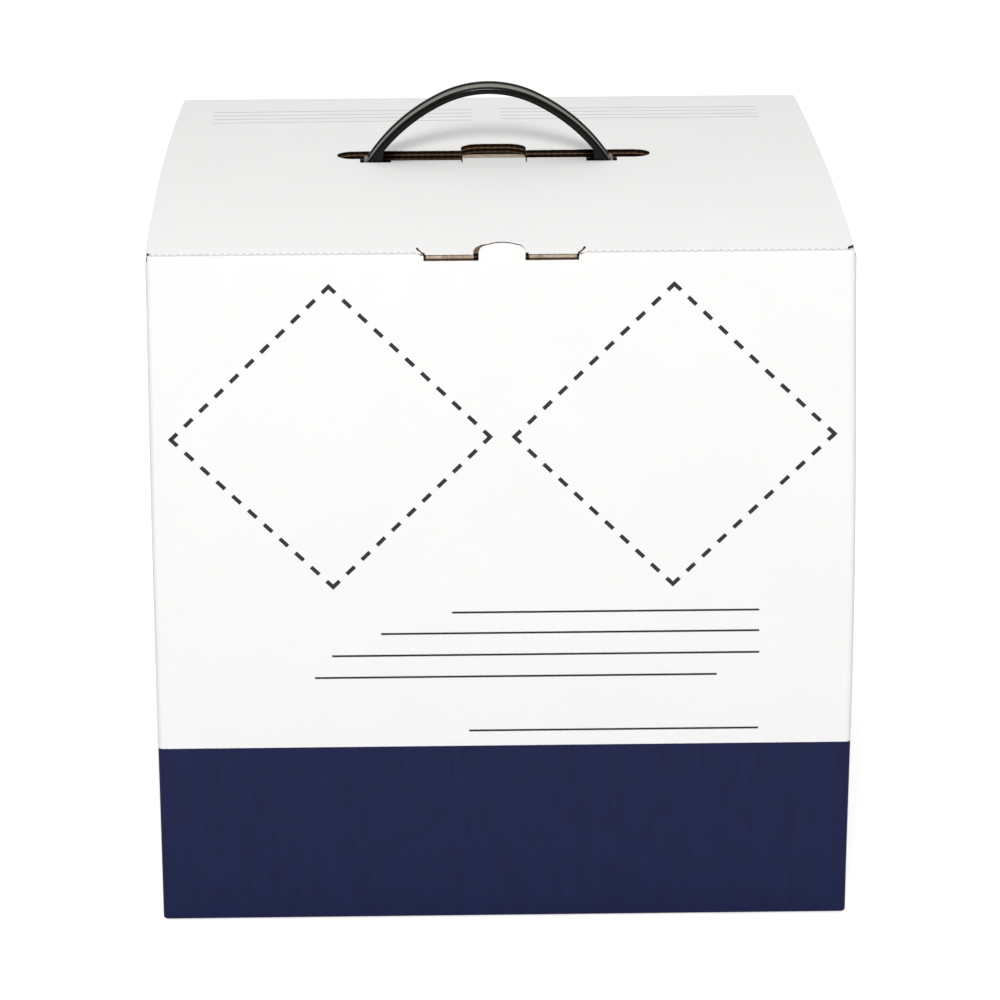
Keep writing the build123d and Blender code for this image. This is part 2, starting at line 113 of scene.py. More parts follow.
NOTCH_Y = SLIT_NEAR - 8.2                    # notches for the handle's feet in the slit's near edge
NOTCHES, NOTCH_RADII = ((-63.6, -49.0), (43.8, 58.4)), (0.6, 0.8)   # X from and to; at the slit, inside
FINGER_W, FINGER_REACH, FINGER_CUT, FINGER_R = 30.0, 14.5, 9.0, 9.0
FINGER_GAP, FINGER_BEND = 0.6, radians(9)
CREASE_W = 1.1                               # liner cracked open along the finger tongue's crease
PATCH_W, PATCH_D, PATCH_R = 164.0, 84.0, 8.0
FOLD_BOW, FOLD_BOW_SKEW = 0.45, 0.25         # share of the walls' bow at the folds, and what the right has more
WALL_BOW_SKEW = 0.15                         # share by which the right wall bows less, and the left more
SHARP, EDGE_R = radians(35), 0.35            # folds that show as an edge; edges of black mouldings
AREA_SLACK = 0.002                           # share of a board's area that its triangles may miss

# ---- print ----------------------------------------------------------------------------------
BAND_TOP = 82.2
DIAMONDS = ((-75.5, 226.3), (75.5, 226.2))   # middles on the front, X and Z
DIAMOND_HALF = (70.2, 68.7)
DASH_W, DASH_LEN, DASHES = 1.8, 5.0, 9
CORNER_DASH_LEN = 0.8 * DASH_LEN
RULES = ((-22.8, 113.7, 145.1), (-54.5, 113.8, 135.4), (-76.5, 113.9, 125.2), (-84.3, 95.2, 115.0),
         (-15.6, 113.9, 89.4))               # X from, X to, Z on the front
RULE_W = 0.92
LID_RULES = ((-137.0, -9.1, 138.4, 112.6, 0.020), (4.5, 132.8, 142.3, 117.6, 0.0))   # X, Y, slope
LID_RULE_COUNT, LID_RULE_W = 4, 0.5
INK_LIFT = 0.03
INK_T = 0.8 * INK_LIFT


# ---- properties -----------------------------------------------------------------------------
def channels(colour):
    """Three screen channels from 0 to 1 of a hex colour."""
    return tuple(int(colour[i:i + 2], 16) / 255 for i in (1, 3, 5))


def measure(name, description, default, least, most):
    """Property that holds a length, given here in millimetres."""
    return bpy.props.FloatProperty(name=name, description=description, default=default * MM,
                                   min=least * MM, max=most * MM, unit="LENGTH", precision=5)


def screen_colour(name, description, default):
    """Property that holds a colour as a screen shows it, given here in hex."""
    return bpy.props.FloatVectorProperty(name=name, description=description, default=channels(default),
                                         subtype="COLOR_GAMMA", size=3, min=0.0, max=1.0)


class TransportBoxSizes(bpy.types.PropertyGroup):
    """Sizes of the board and its surface."""

    flute_pitch: measure("Flute pitch", "Distance between two flutes of the corrugated medium", 3.2, 1.5, 9)
    paper: measure("Paper thickness", "Thickness of the medium and of each liner", 0.22, 0.1, 0.6)
    wall_bow: measure("Wall bow", "How far the side walls stand out at the middle of their depth", 2.5, 0, 5)
    scallop: measure("Fold scallop", "Depth of the waves that the flutes leave in the front's top fold",
                     0.8, 0, 1.5)


class TransportBoxColours(bpy.types.PropertyGroup):
    """Colours of the papers and inks."""

    board_white: screen_colour("White liner", "Bleached outer liner", "#F4F4F3")
    band_navy: screen_colour("Navy band", "Printed band at the foot", "#151C43")
    # kraft's default is darker than the paper: partly painted shade of the board's cut edges in the slit
    kraft: screen_colour("Kraft", "Brown inner liner", "#6E5540")
    # fluting's near-black default is painted shade of the flutes' hollows, on brown paper
    fluting: screen_colour("Fluting", "Dark paper of the corrugated medium", "#2D2018")
    ink: screen_colour("Ink", "Dashes and rules", "#222224")


def sizes():
    """The scene's sizes, as its user has set them."""
    return bpy.context.scene.transport_box_sizes


def colours():
    """The scene's colours, as its user has set them."""
    return bpy.context.scene.transport_box_colours


# ---- shader helpers -------------------------------------------------------------------------
def rgb(colour, gain=1.0):
    """Linear RGBA of a screen colour, which is a hex string or three channels from 0 to 1."""
    screen = channels(colour) if isinstance(colour, str) else colour
    linear = [c / 12.92 if c <= 0.04045 else ((c + 0.055) / 1.055) ** 2.4 for c in screen]
    return tuple(min(c * gain, 1.0) for c in linear) + (1.0,)


def plug(tree, node, inputs):
    """Links each input that is given a socket, and sets the others; a list fills them in order."""
    for key, value in inputs.items() if isinstance(inputs, dict) else enumerate(inputs):
        if isinstance(value, bpy.types.NodeSocket):
            tree.links.new(value, node.inputs[key])
        else:
            node.inputs[key].default_value = value


def add(tree, kind, inputs=(), output=0, **settings):
    """Adds a shader node with its settings and inputs, and returns one of its outputs."""
    node = tree.nodes.new("ShaderNode" + kind)
    for key, value in settings.items():
        setattr(node, key, value)
    plug(tree, node, inputs)
    return node.outputs[output]


def grain(tree, place, size, detail=3.0, roughness=0.55):
    """Cloudy pattern from 0 to 1; its features' width is in millimetres, for all axes or for each."""
    scale = [1 / (s * MM) for s in (size if isinstance(size, tuple) else (size,) * 3)]
    place = add(tree, "Mapping", {"Vector": place, "Scale": scale})
    return add(tree, "TexNoise", {"Vector": place, "Scale": 1.0, "Detail": detail, "Roughness": roughness})


def blend(tree, pattern, low, high, a, b, most=1.0):
    """Colour that turns from a towards b as a pattern goes from low to high, by most at the end."""
    share = add(tree, "MapRange", (pattern, low, high, 0.0, most))
    return add(tree, "Mix", {0: share, 6: a, 7: b}, 2, data_type="RGBA")


def relief(tree, *layers):
    """Normal of patterns laid over each other; each has its full depth in millimetres and a strength."""
    under = {}
    for pattern, depth, strength in layers:
        normal = add(tree, "Bump", {"Height": pattern, "Distance": depth * MM, "Strength": strength} | under)
        under = {"Normal": normal}
    return normal


def unfolded(tree):
    """Place on the unfolded board, in metres: X across the flutes, Y along them."""
    return add(tree, "Attribute", output="Vector", attribute_name="flat")


def flute_lines(tree):
    """From 0 to 1 and back across each flute; it drives the flutes' relief, and on the white liner their
    painted shade.
    """
    across = add(tree, "SeparateXYZ", [unfolded(tree)])
    turn = add(tree, "Math", (across, 2 * pi / sizes().flute_pitch), operation="MULTIPLY")
    wave = add(tree, "Math", [turn], operation="SINE")
    return add(tree, "Math", (wave, 0.5, 0.5), operation="MULTIPLY_ADD")


MATERIALS = {}


def material(surface):
    """The material named for a surface, made once; surface(tree, place) gives the shader's inputs."""
    title = surface.__name__.replace("_", " ").capitalize()
    if title not in MATERIALS:
        made = bpy.data.materials.new(title)
        made.use_nodes = True
        tree = made.node_tree
        shader = next(n for n in tree.nodes if n.type == "BSDF_PRINCIPLED")
        plug(tree, shader, surface(tree, add(tree, "TexCoord", output="Object")))
        MATERIALS[title] = made
    return MATERIALS[title]


# ---- papers and inks ------------------------------------------------------------------------
def white_liner(tree, place):
    """Bleached liner with paper fibres, faint flute lines in relief and painted shade, a painted shade line
    along the front panel's top fold and, at the foot, the printed navy band.

    Its fibres are drawn coarser than real ones, so that they show.
    """
    flat, flutes = unfolded(tree), flute_lines(tree)
    board, band = colours().board_white, colours().band_navy
    cloud = grain(tree, place, 45.5)
    fibre = grain(tree, flat, (0.385, 1.1, 0.385))
    white = blend(tree, cloud, 0.3, 0.7, rgb(board, 0.981), rgb(board, 0.996))
    white = blend(tree, fibre, 0.35, 0.75, white, rgb("#D9D8D3"), 0.05)
    # painted shade: the white darkens a little along each flute's valley
    white = blend(tree, flutes, 1.0, 0.0, white, rgb("#B9B7B2"), 0.014)
    blotch = grain(tree, place, (6.25, 6.25, 13.9), 5.0, 0.7)
    lay = grain(tree, flat, (2.38, 119.0, 2.38), 2.0)
    navy = blend(tree, blotch, 0.3, 0.72, rgb(band, 0.90), rgb(band, 1.16))
    navy = blend(tree, lay, 0.35, 0.65, navy, rgb(band, 1.30), 0.30)
    # painted shade: the navy darkens along each flute's valley
    navy = blend(tree, flutes, 1.0, 0.0, navy, rgb(band, 0.72), 0.10)
    navy = blend(tree, grain(tree, place, 0.263, 1.0), 0.745, 0.80, navy, rgb("#8D93AC"), 0.35)
    # painted shade: a grey line along the front panel's top fold, outside the lock
    off_middle = add(tree, "Math", [add(tree, "SeparateXYZ", [flat])], operation="ABSOLUTE")
    fold_shade = add(tree, "MapRange", (off_middle, (LOCK_W / 2 + 1) * MM, (LOCK_W / 2 + 2) * MM, 0.0, 0.45))
    up_wall = add(tree, "SeparateXYZ", [flat], 1)
    off_fold = add(tree, "Math", (up_wall, FOLD_SHADE_AT * MM), operation="SUBTRACT")
    off_fold = add(tree, "Math", [off_fold], operation="ABSOLUTE")
    white = blend(tree, off_fold, 1.1 * MM, 0.5 * MM, white, rgb("#8F8C88"), fold_shade)
    height = add(tree, "SeparateXYZ", [place], 2)
    ragged = add(tree, "Math", (grain(tree, place, 1.11), 0.22 * MM, height), operation="MULTIPLY_ADD")
    inked = add(tree, "MapRange", (ragged, (BAND_TOP + 0.06) * MM, (BAND_TOP + 0.16) * MM, 1.0, 0.0))
    return {"Base Color": blend(tree, inked, 0.0, 1.0, white, navy),
            "Roughness": add(tree, "MapRange", (inked, 0.0, 1.0, 0.62, 0.50)),
            "Specular IOR Level": add(tree, "MapRange", (inked, 0.0, 1.0, 0.32, 0.21)),
            "Normal": relief(tree, (flutes, 0.03, 0.55), (fibre, 0.012, 0.35), (cloud, 0.45, 0.18))}


def kraft_paper(tree, place):
    """Brown kraft with long fibres, dark flecks and faint flute lines; its tone is set darker than the paper,
    partly as painted shade.
    """
    kraft = colours().kraft
    fibre = grain(tree, place, (0.667, 3.03, 3.03), 6.0, 0.7)
    cloud = grain(tree, place, 22.2, 4.0)
    fleck = grain(tree, place, (1.11, 2.22, 2.22), 2.0)
    brown = blend(tree, fibre, 0.32, 0.68, rgb(kraft, 0.80), rgb(kraft, 1.14))
    brown = blend(tree, cloud, 0.3, 0.7, brown, rgb(kraft, 0.88), 0.35)
    brown = blend(tree, fleck, 0.66, 0.74, brown, rgb("#5F4229"), 0.6)
    return {"Base Color": brown, "Roughness": 0.86, "Specular IOR Level": 0.2,
            "Normal": relief(tree, (flute_lines(tree), 0.03, 0.4), (fibre, 0.04, 0.6))}


def fluting(tree, place):
    """Paper of the corrugated medium, with fibres and flecks; brown like the paper, darkened to near black as
    painted shade of the flutes' hollows.
    """
    medium = colours().fluting
    fibre = grain(tree, place, (0.769, 2.56, 0.769), 5.0, 0.7)
    brown = blend(tree, fibre, 0.3, 0.7, rgb(medium, 0.7), rgb(medium, 1.3))
    brown = blend(tree, grain(tree, place, 1.43, 2.0), 0.68, 0.74, brown, rgb("#6E543C"), 0.5)
    return {"Base Color": brown, "Roughness": 0.9, "Specular IOR Level": 0.15,
            "Normal": relief(tree, (fibre, 0.03, 0.5))}


def rubbed_and_shaded_liner(tree, place):
    """White liner rubbed by fingers so that the kraft under it shows through, and browned as painted shade of
    the pressed finger tongue.
    """
    rub = grain(tree, place, (3.85, 9.62, 3.85), 5.0, 0.7)
    fibre = grain(tree, place, 0.417)
    base = blend(tree, rub, 0.3, 0.7, rgb("#C9BBAA"), rgb("#8E7964"))
    base = blend(tree, fibre, 0.6, 0.8, base, rgb("#6B5542"), 0.5)
    return {"Base Color": base, "Roughness": 0.8, "Specular IOR Level": 0.2,
            "Normal": relief(tree, (fibre, 0.02, 0.5))}


def printed_ink(tree, place):
    """Near-black flexographic ink, a little starved in patches."""
    starve, speck = grain(tree, place, 0.714), grain(tree, place, 0.192, 2.0)
    dark = blend(tree, starve, 0.35, 0.75, rgb(colours().ink), rgb("#4A4A4D"), 0.5)
    dark = blend(tree, speck, 0.68, 0.78, dark, rgb("#8A8A8C"), 0.4)
    return {"Base Color": dark, "Roughness": 0.55, "Specular IOR Level": 0.3,
            "Normal": relief(tree, (speck, 0.01, 0.4))}


def fine_rules(tree, place):
    """Thin grey ink, which lets more of the white board through."""
    starve = grain(tree, place, 1.11)
    return {"Base Color": blend(tree, starve, 0.3, 0.7, rgb("#6E6E70"), rgb("#98989A")),
            "Roughness": 0.58, "Specular IOR Level": 0.3, "Normal": relief(tree, (starve, 0.01, 0.3))}


# ---- mouldings, foam and rubber -------------------------------------------------------------
def moulded_black(tree, place):
    """Glossy black moulding with flow marks and rubbed edges; the web between its rims is rougher, and lighter
    as painted reflection of the bright surroundings.
    """
    web = add(tree, "SeparateXYZ", [unfolded(tree)])
    flow = grain(tree, place, (15.4, 3.85, 3.85))
    wear = add(tree, "NewGeometry", output="Pointiness")
    base = blend(tree, flow, 0.3, 0.7, rgb("#111110"), rgb("#171716"))
    base = blend(tree, wear, 0.52, 0.60, base, rgb("#1D1D1B"), 0.2)
    polish = add(tree, "MapRange", (flow, 0.3, 0.7, 0.11, 0.16))
    # painted reflection: the web's colour is lightened towards a warm grey
    return {"Base Color": blend(tree, web, 0.0, 1.0, base, rgb("#70685E"), 0.9),
            "Roughness": add(tree, "Math", (web, 0.16, polish), operation="MULTIPLY_ADD"),
            "Specular IOR Level": add(tree, "Math", (web, 0.09, 0.11), operation="MULTIPLY_ADD"),
            "Normal": relief(tree, (grain(tree, place, 0.417, 2.0), 0.01, 0.35), (flow, 0.06, 0.3))}


def foam_beads(tree, place):
    """Expanded polystyrene: fused beads 3.7 mm wide with dark seams and small pits between them."""
    beads = {"Vector": place, "Scale": 1 / (3.7 * MM)}
    seam = add(tree, "TexVoronoi", beads, feature="DISTANCE_TO_EDGE")
    tone = add(tree, "SeparateXYZ", [add(tree, "TexVoronoi", beads, "Color")])
    base = blend(tree, tone, 0.0, 1.0, rgb("#F1F1EE"), rgb("#E6E6E2"))
    base = blend(tree, seam, 0.10, 0.0, base, rgb("#C4C4BE"), 0.55)
    base = blend(tree, grain(tree, place, 1.11, 2.0), 0.68, 0.76, base, rgb("#B4B4AE"), 0.5)
    dome = add(tree, "MapRange", (seam, 0.0, 0.22, 0.0, 1.0))
    return {"Base Color": base, "Roughness": 0.72, "Specular IOR Level": 0.35, "Subsurface Weight": 0.12,
            "Subsurface Radius": (0.004, 0.004, 0.0038), "Subsurface Scale": 1.0,
            "Normal": relief(tree, (dome, 0.22, 0.8))}


def natural_polypropylene(tree, place):
    """Milky translucent jar with faint mould lines."""
    haze = grain(tree, place, 16.7)
    rings = grain(tree, place, (71.4, 71.4, 1.43), 2.0)
    return {"Base Color": blend(tree, haze, 0.3, 0.7, rgb("#E4E7E6"), rgb("#F0F1EF")),
            "Roughness": 0.32, "IOR": 1.49, "Transmission Weight": 0.35, "Subsurface Weight": 0.25,
            "Subsurface Radius": (0.006, 0.006, 0.006), "Subsurface Scale": 1.0,
            "Normal": relief(tree, (rings, 0.06, 0.4))}


def red_cap(tree, place):
    """Satin red moulding with fine grain."""
    satin, flow = grain(tree, place, 0.333, 2.0), grain(tree, place, 11.1)
    return {"Base Color": blend(tree, flow, 0.3, 0.7, rgb("#B5221C"), rgb("#C62B22")),
            "Roughness": add(tree, "MapRange", (satin, 0.3, 0.7, 0.34, 0.44)),
            "Normal": relief(tree, (satin, 0.02, 0.5))}


def seal_rubber(tree, place):
    """Matt black rubber with talc in its pores."""
    talc = grain(tree, place, 0.556, 4.0)
    return {"Base Color": blend(tree, talc, 0.55, 0.75, rgb("#191919"), rgb("#3A3A39"), 0.5),
            "Roughness": 0.82, "Normal": relief(tree, (talc, 0.04, 0.5))}


def absorbent_sheet(tree, place):
    """Embossed absorbent paper: dimples 3 mm apart in a soft fibrous sheet."""
    dimple = add(tree, "TexVoronoi", {"Vector": place, "Scale": 1 / (3 * MM)}, feature="SMOOTH_F1")
    return {"Base Color": blend(tree, dimple, 0.0, 0.6, rgb("#DEDEDA"), rgb("#F0F0EC")), "Roughness": 0.93,
            "Normal": relief(tree, (dimple, 0.4, 0.7), (grain(tree, place, 0.455, 4.0), 0.06, 0.6))}


def studio_floor(tree, place):
    """Pale floor that the camera sees a little brighter, so that it meets the white backdrop."""
    seen = add(tree, "LightPath", output="Is Camera Ray")
    return {"Base Color": blend(tree, grain(tree, place, 25.0), 0.3, 0.7, rgb("#D0D0D0"), rgb("#D4D4D4")),
            "Roughness": 0.9, "Specular IOR Level": 0.1, "Emission Color": (1.0, 1.0, 1.0, 1.0),
            "Emission Strength": add(tree, "Math", (seen, FLOOR_GLOW), operation="MULTIPLY")}


# ---- mesh helpers ---------------------------------------------------------------------------
def make_object(name, points, faces, body, surface, flat=None, smooth=True):
    """Mesh object at the origin that rides a body and takes its finish from a material slot."""
    mesh = bpy.data.meshes.new(name)
    mesh.from_pydata([tuple(p) for p in points], [], [tuple(int(i) for i in f) for f in faces])
    if flat is not None:
        attribute = mesh.attributes.new("flat", "FLOAT_VECTOR", "POINT")
        attribute.data.foreach_set("vector", np.asarray(flat, dtype=np.float32).ravel())
    mesh.polygons.foreach_set("use_smooth", [smooth] * len(mesh.polygons))
    mesh.update()
    obj = bpy.data.objects.new(name, mesh)
    bpy.context.scene.collection.objects.link(obj)
    mesh.materials.append(material(surface))
    if smooth:
        mesh.set_sharp_from_angle(angle=SHARP)
    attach(obj, body)
    return obj


def settle(obj):
    """Turns the object's modifiers into mesh, and keeps its edges sharp."""
    graph = bpy.context.evaluated_depsgraph_get()
    obj.data = bpy.data.meshes.new_from_object(obj.evaluated_get(graph), depsgraph=graph)
    obj.modifiers.clear()
    obj.data.set_sharp_from_angle(angle=SHARP)


def thicken(obj, thickness, offset):
    """Gives a surface its paper thickness: offset -1 grows it inwards, 0 both ways."""
    solid = obj.modifiers.new("Paper thickness", "SOLIDIFY")
    solid.thickness = thickness
    solid.offset = offset
    solid.use_even_offset = False
    settle(obj)


def rounded(corners, step=radians(9)):
    """Closed outline through corners (u, v, radius), each rounded by an arc of its radius."""
    points = []
    count = len(corners)
    for i, (u, v, r) in enumerate(corners):
        here = np.array((u, v), dtype=float)
        if r <= 0:
            points.append(here)
            continue
        back = np.array(corners[i - 1][:2]) - here
        ahead = np.array(corners[(i + 1) % count][:2]) - here
        back, ahead = back / np.linalg.norm(back), ahead / np.linalg.norm(ahead)
        half = np.arccos(np.clip(back @ ahead, -1, 1)) / 2
        middle = here + (back + ahead) / np.linalg.norm(back + ahead) * r / sin(half)
        start = here + back * r / tan(half) - middle
        end = here + ahead * r / tan(half) - middle
        a0 = np.arctan2(start[1], start[0])
        turn = (np.arctan2(end[1], end[0]) - a0 + pi) % (2 * pi) - pi
        for t in np.linspace(0, 1, max(2, int(abs(turn) / step) + 1)):
            points.append(middle + r * np.array((cos(a0 + turn * t), sin(a0 + turn * t))))
    return np.array(points)


def inside(points, loops):
    """Whether each (u, v) point lies in the board and in none of its holes, by even and odd crossings."""
    u, v = points[:, 0], points[:, 1]
    odd = np.zeros(len(points), dtype=bool)
    for loop in loops:
        for (u0, v0), (u1, v1) in zip(loop, np.roll(loop, -1, axis=0)):
            if u0 == u1:
                continue
            crosses = (u0 > u) != (u1 > u)
            odd ^= crosses & (v < v0 + (u - u0) / (u1 - u0) * (v1 - v0))
    return odd


def area(loop):
    """Area inside a closed outline: half the sum of its cross products."""
    u, v = np.asarray(loop).T
    return (u * np.roll(v, -1) - v * np.roll(u, -1)).sum() / 2


def triangulated(loops, columns=(), rows=()):
    """Triangles of a flat board with holes, cut along upright lines (columns) and level lines (rows).

    Returns the (u, v) points and the triangles that lie inside the outline and cover it.
    """
    points, edges = [], []
    for loop in loops:
        first = len(points)
        points += [tuple(p) for p in loop]
        edges += [(first + i, first + (i + 1) % len(loop)) for i in range(len(loop))]
    (u0, v0), (u1, v1) = loops[0].min(axis=0) - 1.0, loops[0].max(axis=0) + 1.0
    for line in [((u, v0), (u, v1)) for u in columns] + [((u0, v), (u1, v)) for v in rows]:
        edges.append((len(points), len(points) + 1))
        points += line
    out = delaunay_2d_cdt([Vector(p) for p in points], edges, [], 0, 1e-5, False)
    flat = np.array([tuple(p) for p in out[0]])
    triangles = np.array([f for f in out[2] if len(f) == 3], dtype=int)
    triangles = triangles[inside(flat[triangles].mean(axis=1), loops)]
    a, b, c = flat[triangles].transpose(1, 0, 2)
    covered = np.abs(np.linalg.det(np.stack([b - a, c - a], axis=1))).sum() / 2
    wanted = abs(area(loops[0])) - sum(abs(area(hole)) for hole in loops[1:])
    if abs(covered - wanted) > AREA_SLACK * wanted:
        raise RuntimeError("the triangles don't cover the board")
    used, renamed = np.unique(triangles, return_inverse=True)
    return flat[used], renamed.reshape(-1, 3)


def outward(layer, place):
    """The layer with its triangles turned so that they face away from the board's inside."""
    points, triangles, flat = layer
    corner = points[triangles]
    normal = np.cross(corner[:, 1] - corner[:, 0], corner[:, 2] - corner[:, 0])
    middle = flat[triangles].mean(axis=1) / MM
    zero = np.zeros(len(middle))
    lift = place(middle[:, 0], middle[:, 1], zero + BOARD) - place(middle[:, 0], middle[:, 1], zero)
    wrong = (normal * lift).sum(axis=1) < 0
    triangles = triangles.copy()
    triangles[wrong] = triangles[wrong][:, ::-1]
    return points, triangles, flat


def board_layer(loops, place, height, columns, rows):
    """One paper of a board: flat points lifted to height(u) and folded into place.

    Returns the folded points in metres, the triangles and the flat coordinates in metres.
    """
    flat, triangles = triangulated(loops, columns, rows)
    u, v = flat.T
    return outward((place(u, v, height(u)) * MM, triangles, np.insert(flat, 2, 0.0, axis=1) * MM), place)


def joined(layers):
    """Several layers as one set of points, triangles and flat coordinates."""
    points, triangles, flats = zip(*layers)
    firsts = np.cumsum([0] + [len(p) for p in points[:-1]])
    return np.vstack(points), np.vstack([t + first for t, first in zip(triangles, firsts)]), np.vstack(flats)


def flute_columns(u0, u1, samples=8):
    """Places across the flutes where the medium is sampled, samples to each flute."""
    step = sizes().flute_pitch / MM / samples
    return np.arange(np.ceil(u0 / step), np.floor(u1 / step) + 1) * step


def skin(name, node, body, loops, place, columns=(), rows=(), surface=white_liner):
    """Outer liner of a board, which stands for the CAD panel."""
    points, triangles, flat = board_layer(loops, place, lambda u: u * 0 + BOARD, columns, rows)
    obj = make_object(name, points, triangles, body, surface, flat)
    thicken(obj, LINER_T * MM, -1.0)
    if node:
        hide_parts(node)


def core(name, body, loops, place, rows=(), samples=8, replaced=None, kraft_outside=False):
    """Kraft of a board: the medium, whose height is the sine of the place across, between two liners.

    The medium swings between the liners with the flute pitch. Its outer liner lies just under the
    printed one, or is itself the outside of a board that stands for a CAD node.
    """
    u = loops[0][:, 0]
    paper, pitch = sizes().paper / MM, sizes().flute_pitch / MM
    swing = (BOARD - 2 * LINER_T - paper) / 2
    top = BOARD - paper / 2 if kraft_outside else BOARD - LINER_T - SKIN_DROP
    wave = board_layer(loops, place, lambda u: BOARD / 2 + swing * np.sin(2 * pi * u / pitch),
                       flute_columns(u.min(), u.max(), samples), rows)
    bands = np.linspace(u.min(), u.max(), 13)[1:-1]
    liners = [board_layer(loops, place, lambda u, level=level: u * 0 + level, bands, rows)
              for level in (paper / 2, top)]
    points, triangles, flat = joined([wave] + liners)
    obj = make_object(name, points, triangles, body, kraft_paper, flat)
    obj.data.materials.append(material(fluting))
    medium = np.arange(len(triangles)) < len(wave[1])
    obj.data.polygons.foreach_set("material_index", medium.astype(np.int32))
    thicken(obj, sizes().paper, 0.0)
    if replaced:
        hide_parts(replaced)


def panel(node, body, liner, kraft, place, columns=(), rows=(), levels=(), samples=8):
    """A CAD panel as its outer liner, cut along columns and rows, and its kraft, cut along levels."""
    skin(node + "_liner", node, body, liner, place, columns, rows)
    core(node + "_core", body, kraft, place, levels, samples)


def fix_normals(obj):
    """Merges doubles and turns the faces outwards."""
    shell = bmesh.new()
    shell.from_mesh(obj.data)
    bmesh.ops.remove_doubles(shell, verts=shell.verts, dist=1e-7)
    bmesh.ops.recalc_face_normals(shell, faces=shell.faces)
    shell.to_mesh(obj.data)
    shell.free()


def prism(name, bottom, top, edge, body="handle", slot="black_plastic", surface=moulded_black):
    """Prism between two equal outlines of points in millimetres, edges bevelled; black moulded by default."""
    count = len(bottom)
    points = np.vstack([bottom, top]) * MM
    faces = [tuple(range(count)), tuple(range(count, 2 * count))]
    faces += [(i, (i + 1) % count, count + (i + 1) % count, count + i) for i in range(count)]
    obj = make_object(name, points, faces, body, surface)
    fix_normals(obj)
    bevel = obj.modifiers.new("Edge radius", "BEVEL")
    bevel.width = edge * MM
    bevel.segments = 2
    bevel.limit_method = "ANGLE"
    bevel.angle_limit = radians(50)
    settle(obj)


def slab(name, outline, levels, edge=EDGE_R, *made_of):
    """Level plate of an (X, Y) outline."""
    prism(name, *[np.insert(outline, 2, z, axis=1) for z in levels], edge, *made_of)


def upright_slab(name, outline, levels, edge=EDGE_R, *made_of):
    """Upright plate of an (X, Z) outline."""
    prism(name, *[np.insert(outline, 1, y, axis=1) for y in levels], edge, *made_of)


# ---- how each panel is folded into place ----------------------------------------------------
def fold(past, radius, inward):
    """A point past the start of a fold turns on its centre: how far it gets along, and how far in."""
    turn = past / radius
    along = (radius - inward) * np.sin(turn)
    return along, np.where(past > 0, radius - (radius - inward) * np.cos(turn), inward)


def corner_wrap(u, half, inward):
    """Along a wall and round its upright folds.

    Up to the fold a point keeps its place; past it, it turns on the fold's centre.
    Returns the distance along the wall and how far in from the wall's outer face.
    """
    start = half - CORNER_R
    past = np.maximum(np.abs(u) - start, 0.0)
    along, depth = fold(past, CORNER_R, inward)
    return np.sign(u) * np.where(past > 0, start + along, np.abs(u)), depth


def foot_roll(v, inward):
    """Up a wall from its fold along the floor: height and how far in from the outer face."""
    past = np.maximum(FOOT_R - v, 0.0)
    along, depth = fold(past, FOOT_R, inward)
    return np.where(past > 0, FOOT_R - along, v), depth


def end_bow(x, z):
    """How far the front or back wall is stretched sideways towards its bowed upright folds."""
    side = np.sign(x)
    return side * corner_bow(side, z) * np.clip(np.abs(x) / (HALF_W - CORNER_R), 0, 1) ** 4


def front_place(u, v, h):
    """Front wall; outside the lock its liner rolls over the top edge in small waves."""
    inward = BOARD - h
    pitch = sizes().flute_pitch / MM
    wave = 0.5 - 0.5 * np.cos(2 * pi * u / pitch)
    top = FOLD_TOP - sizes().scallop / MM * wave
    rolled = (np.abs(u) > LOCK_W / 2 + HOOK) & (v > top - ROLL_R)
    along = np.maximum(v - (top - ROLL_R), 0.0)
    turn = np.minimum(along / ROLL_R, pi / 2)
    flat = along - turn * ROLL_R
    radius = ROLL_R - inward
    height, depth = foot_roll(v, inward)
    height = np.where(rolled, top - ROLL_R + radius * np.sin(turn), height)
    depth = np.where(rolled, ROLL_R - radius * np.cos(turn) + flat, depth)
    x, depth = corner_wrap(u, HALF_W, depth)
    return np.column_stack([x + end_bow(x, height), FRONT + depth, height])


def back_place(u, v, h):
    """Back wall: u is X, v runs up from the floor."""
    height, depth = foot_roll(v, BOARD - h)
    x, depth = corner_wrap(u, HALF_W, depth)
    return np.column_stack([x + end_bow(x, height), BACK - depth, height])


def corner_bow(side, z):
    """How far the upright folds at left (-1) or right (+1) stand out: most at half of their height."""
    turn = np.clip(z / DUST_TOP, 0, 1) * pi
    return sizes().wall_bow / MM * (FOLD_BOW + FOLD_BOW_SKEW * side) * np.sin(turn) ** 1.5


def side_bow(side, y, z):
    """How far a side wall stands out: most at the middle of its depth, less towards the foot."""
    across = np.clip(1 - (y / HALF_D) ** 2, 0, 1)
    level = np.clip(z / DUST_TOP, 0, 1) ** 0.7
    return corner_bow(side, z) + sizes().wall_bow / MM * (1 - WALL_BOW_SKEW * side) * across * level


def side_place(side):
    """Left (-1) or right (+1) wall: u runs along Y, v up."""
    def place(u, v, h):
        height, depth = foot_roll(v, BOARD - h)
        y, depth = corner_wrap(u, HALF_D, depth)
        x = HALF_W - depth + side_bow(side, y, height)
        return np.column_stack([side * x, y, height])
    return place


def lid_place(u, v, h):
    """Lid: u is X, v is Y; outside the lock its front edge rolls down towards the tuck flap."""
    start = TUCK_FACE + TUCK_R
    lock = LOCK_W / 2 + tan(RELIEF_TURN) * np.maximum(v - TUCK_FACE, 0.0)
    past = np.where(np.abs(u) > lock, np.maximum(start - v, 0.0), 0.0)
    along, down = fold(past, TUCK_R, BOARD - h)
    y = np.where(past > 0, start - along, v)
    bow = side_bow(np.sign(u), y, np.full_like(y, DUST_TOP)) * np.clip(np.abs(u) / LID_SIDE, 0, 1) ** 3
    return np.column_stack([u + np.sign(u) * bow, y, LID_TOP - down - slit_sag(u, v)])


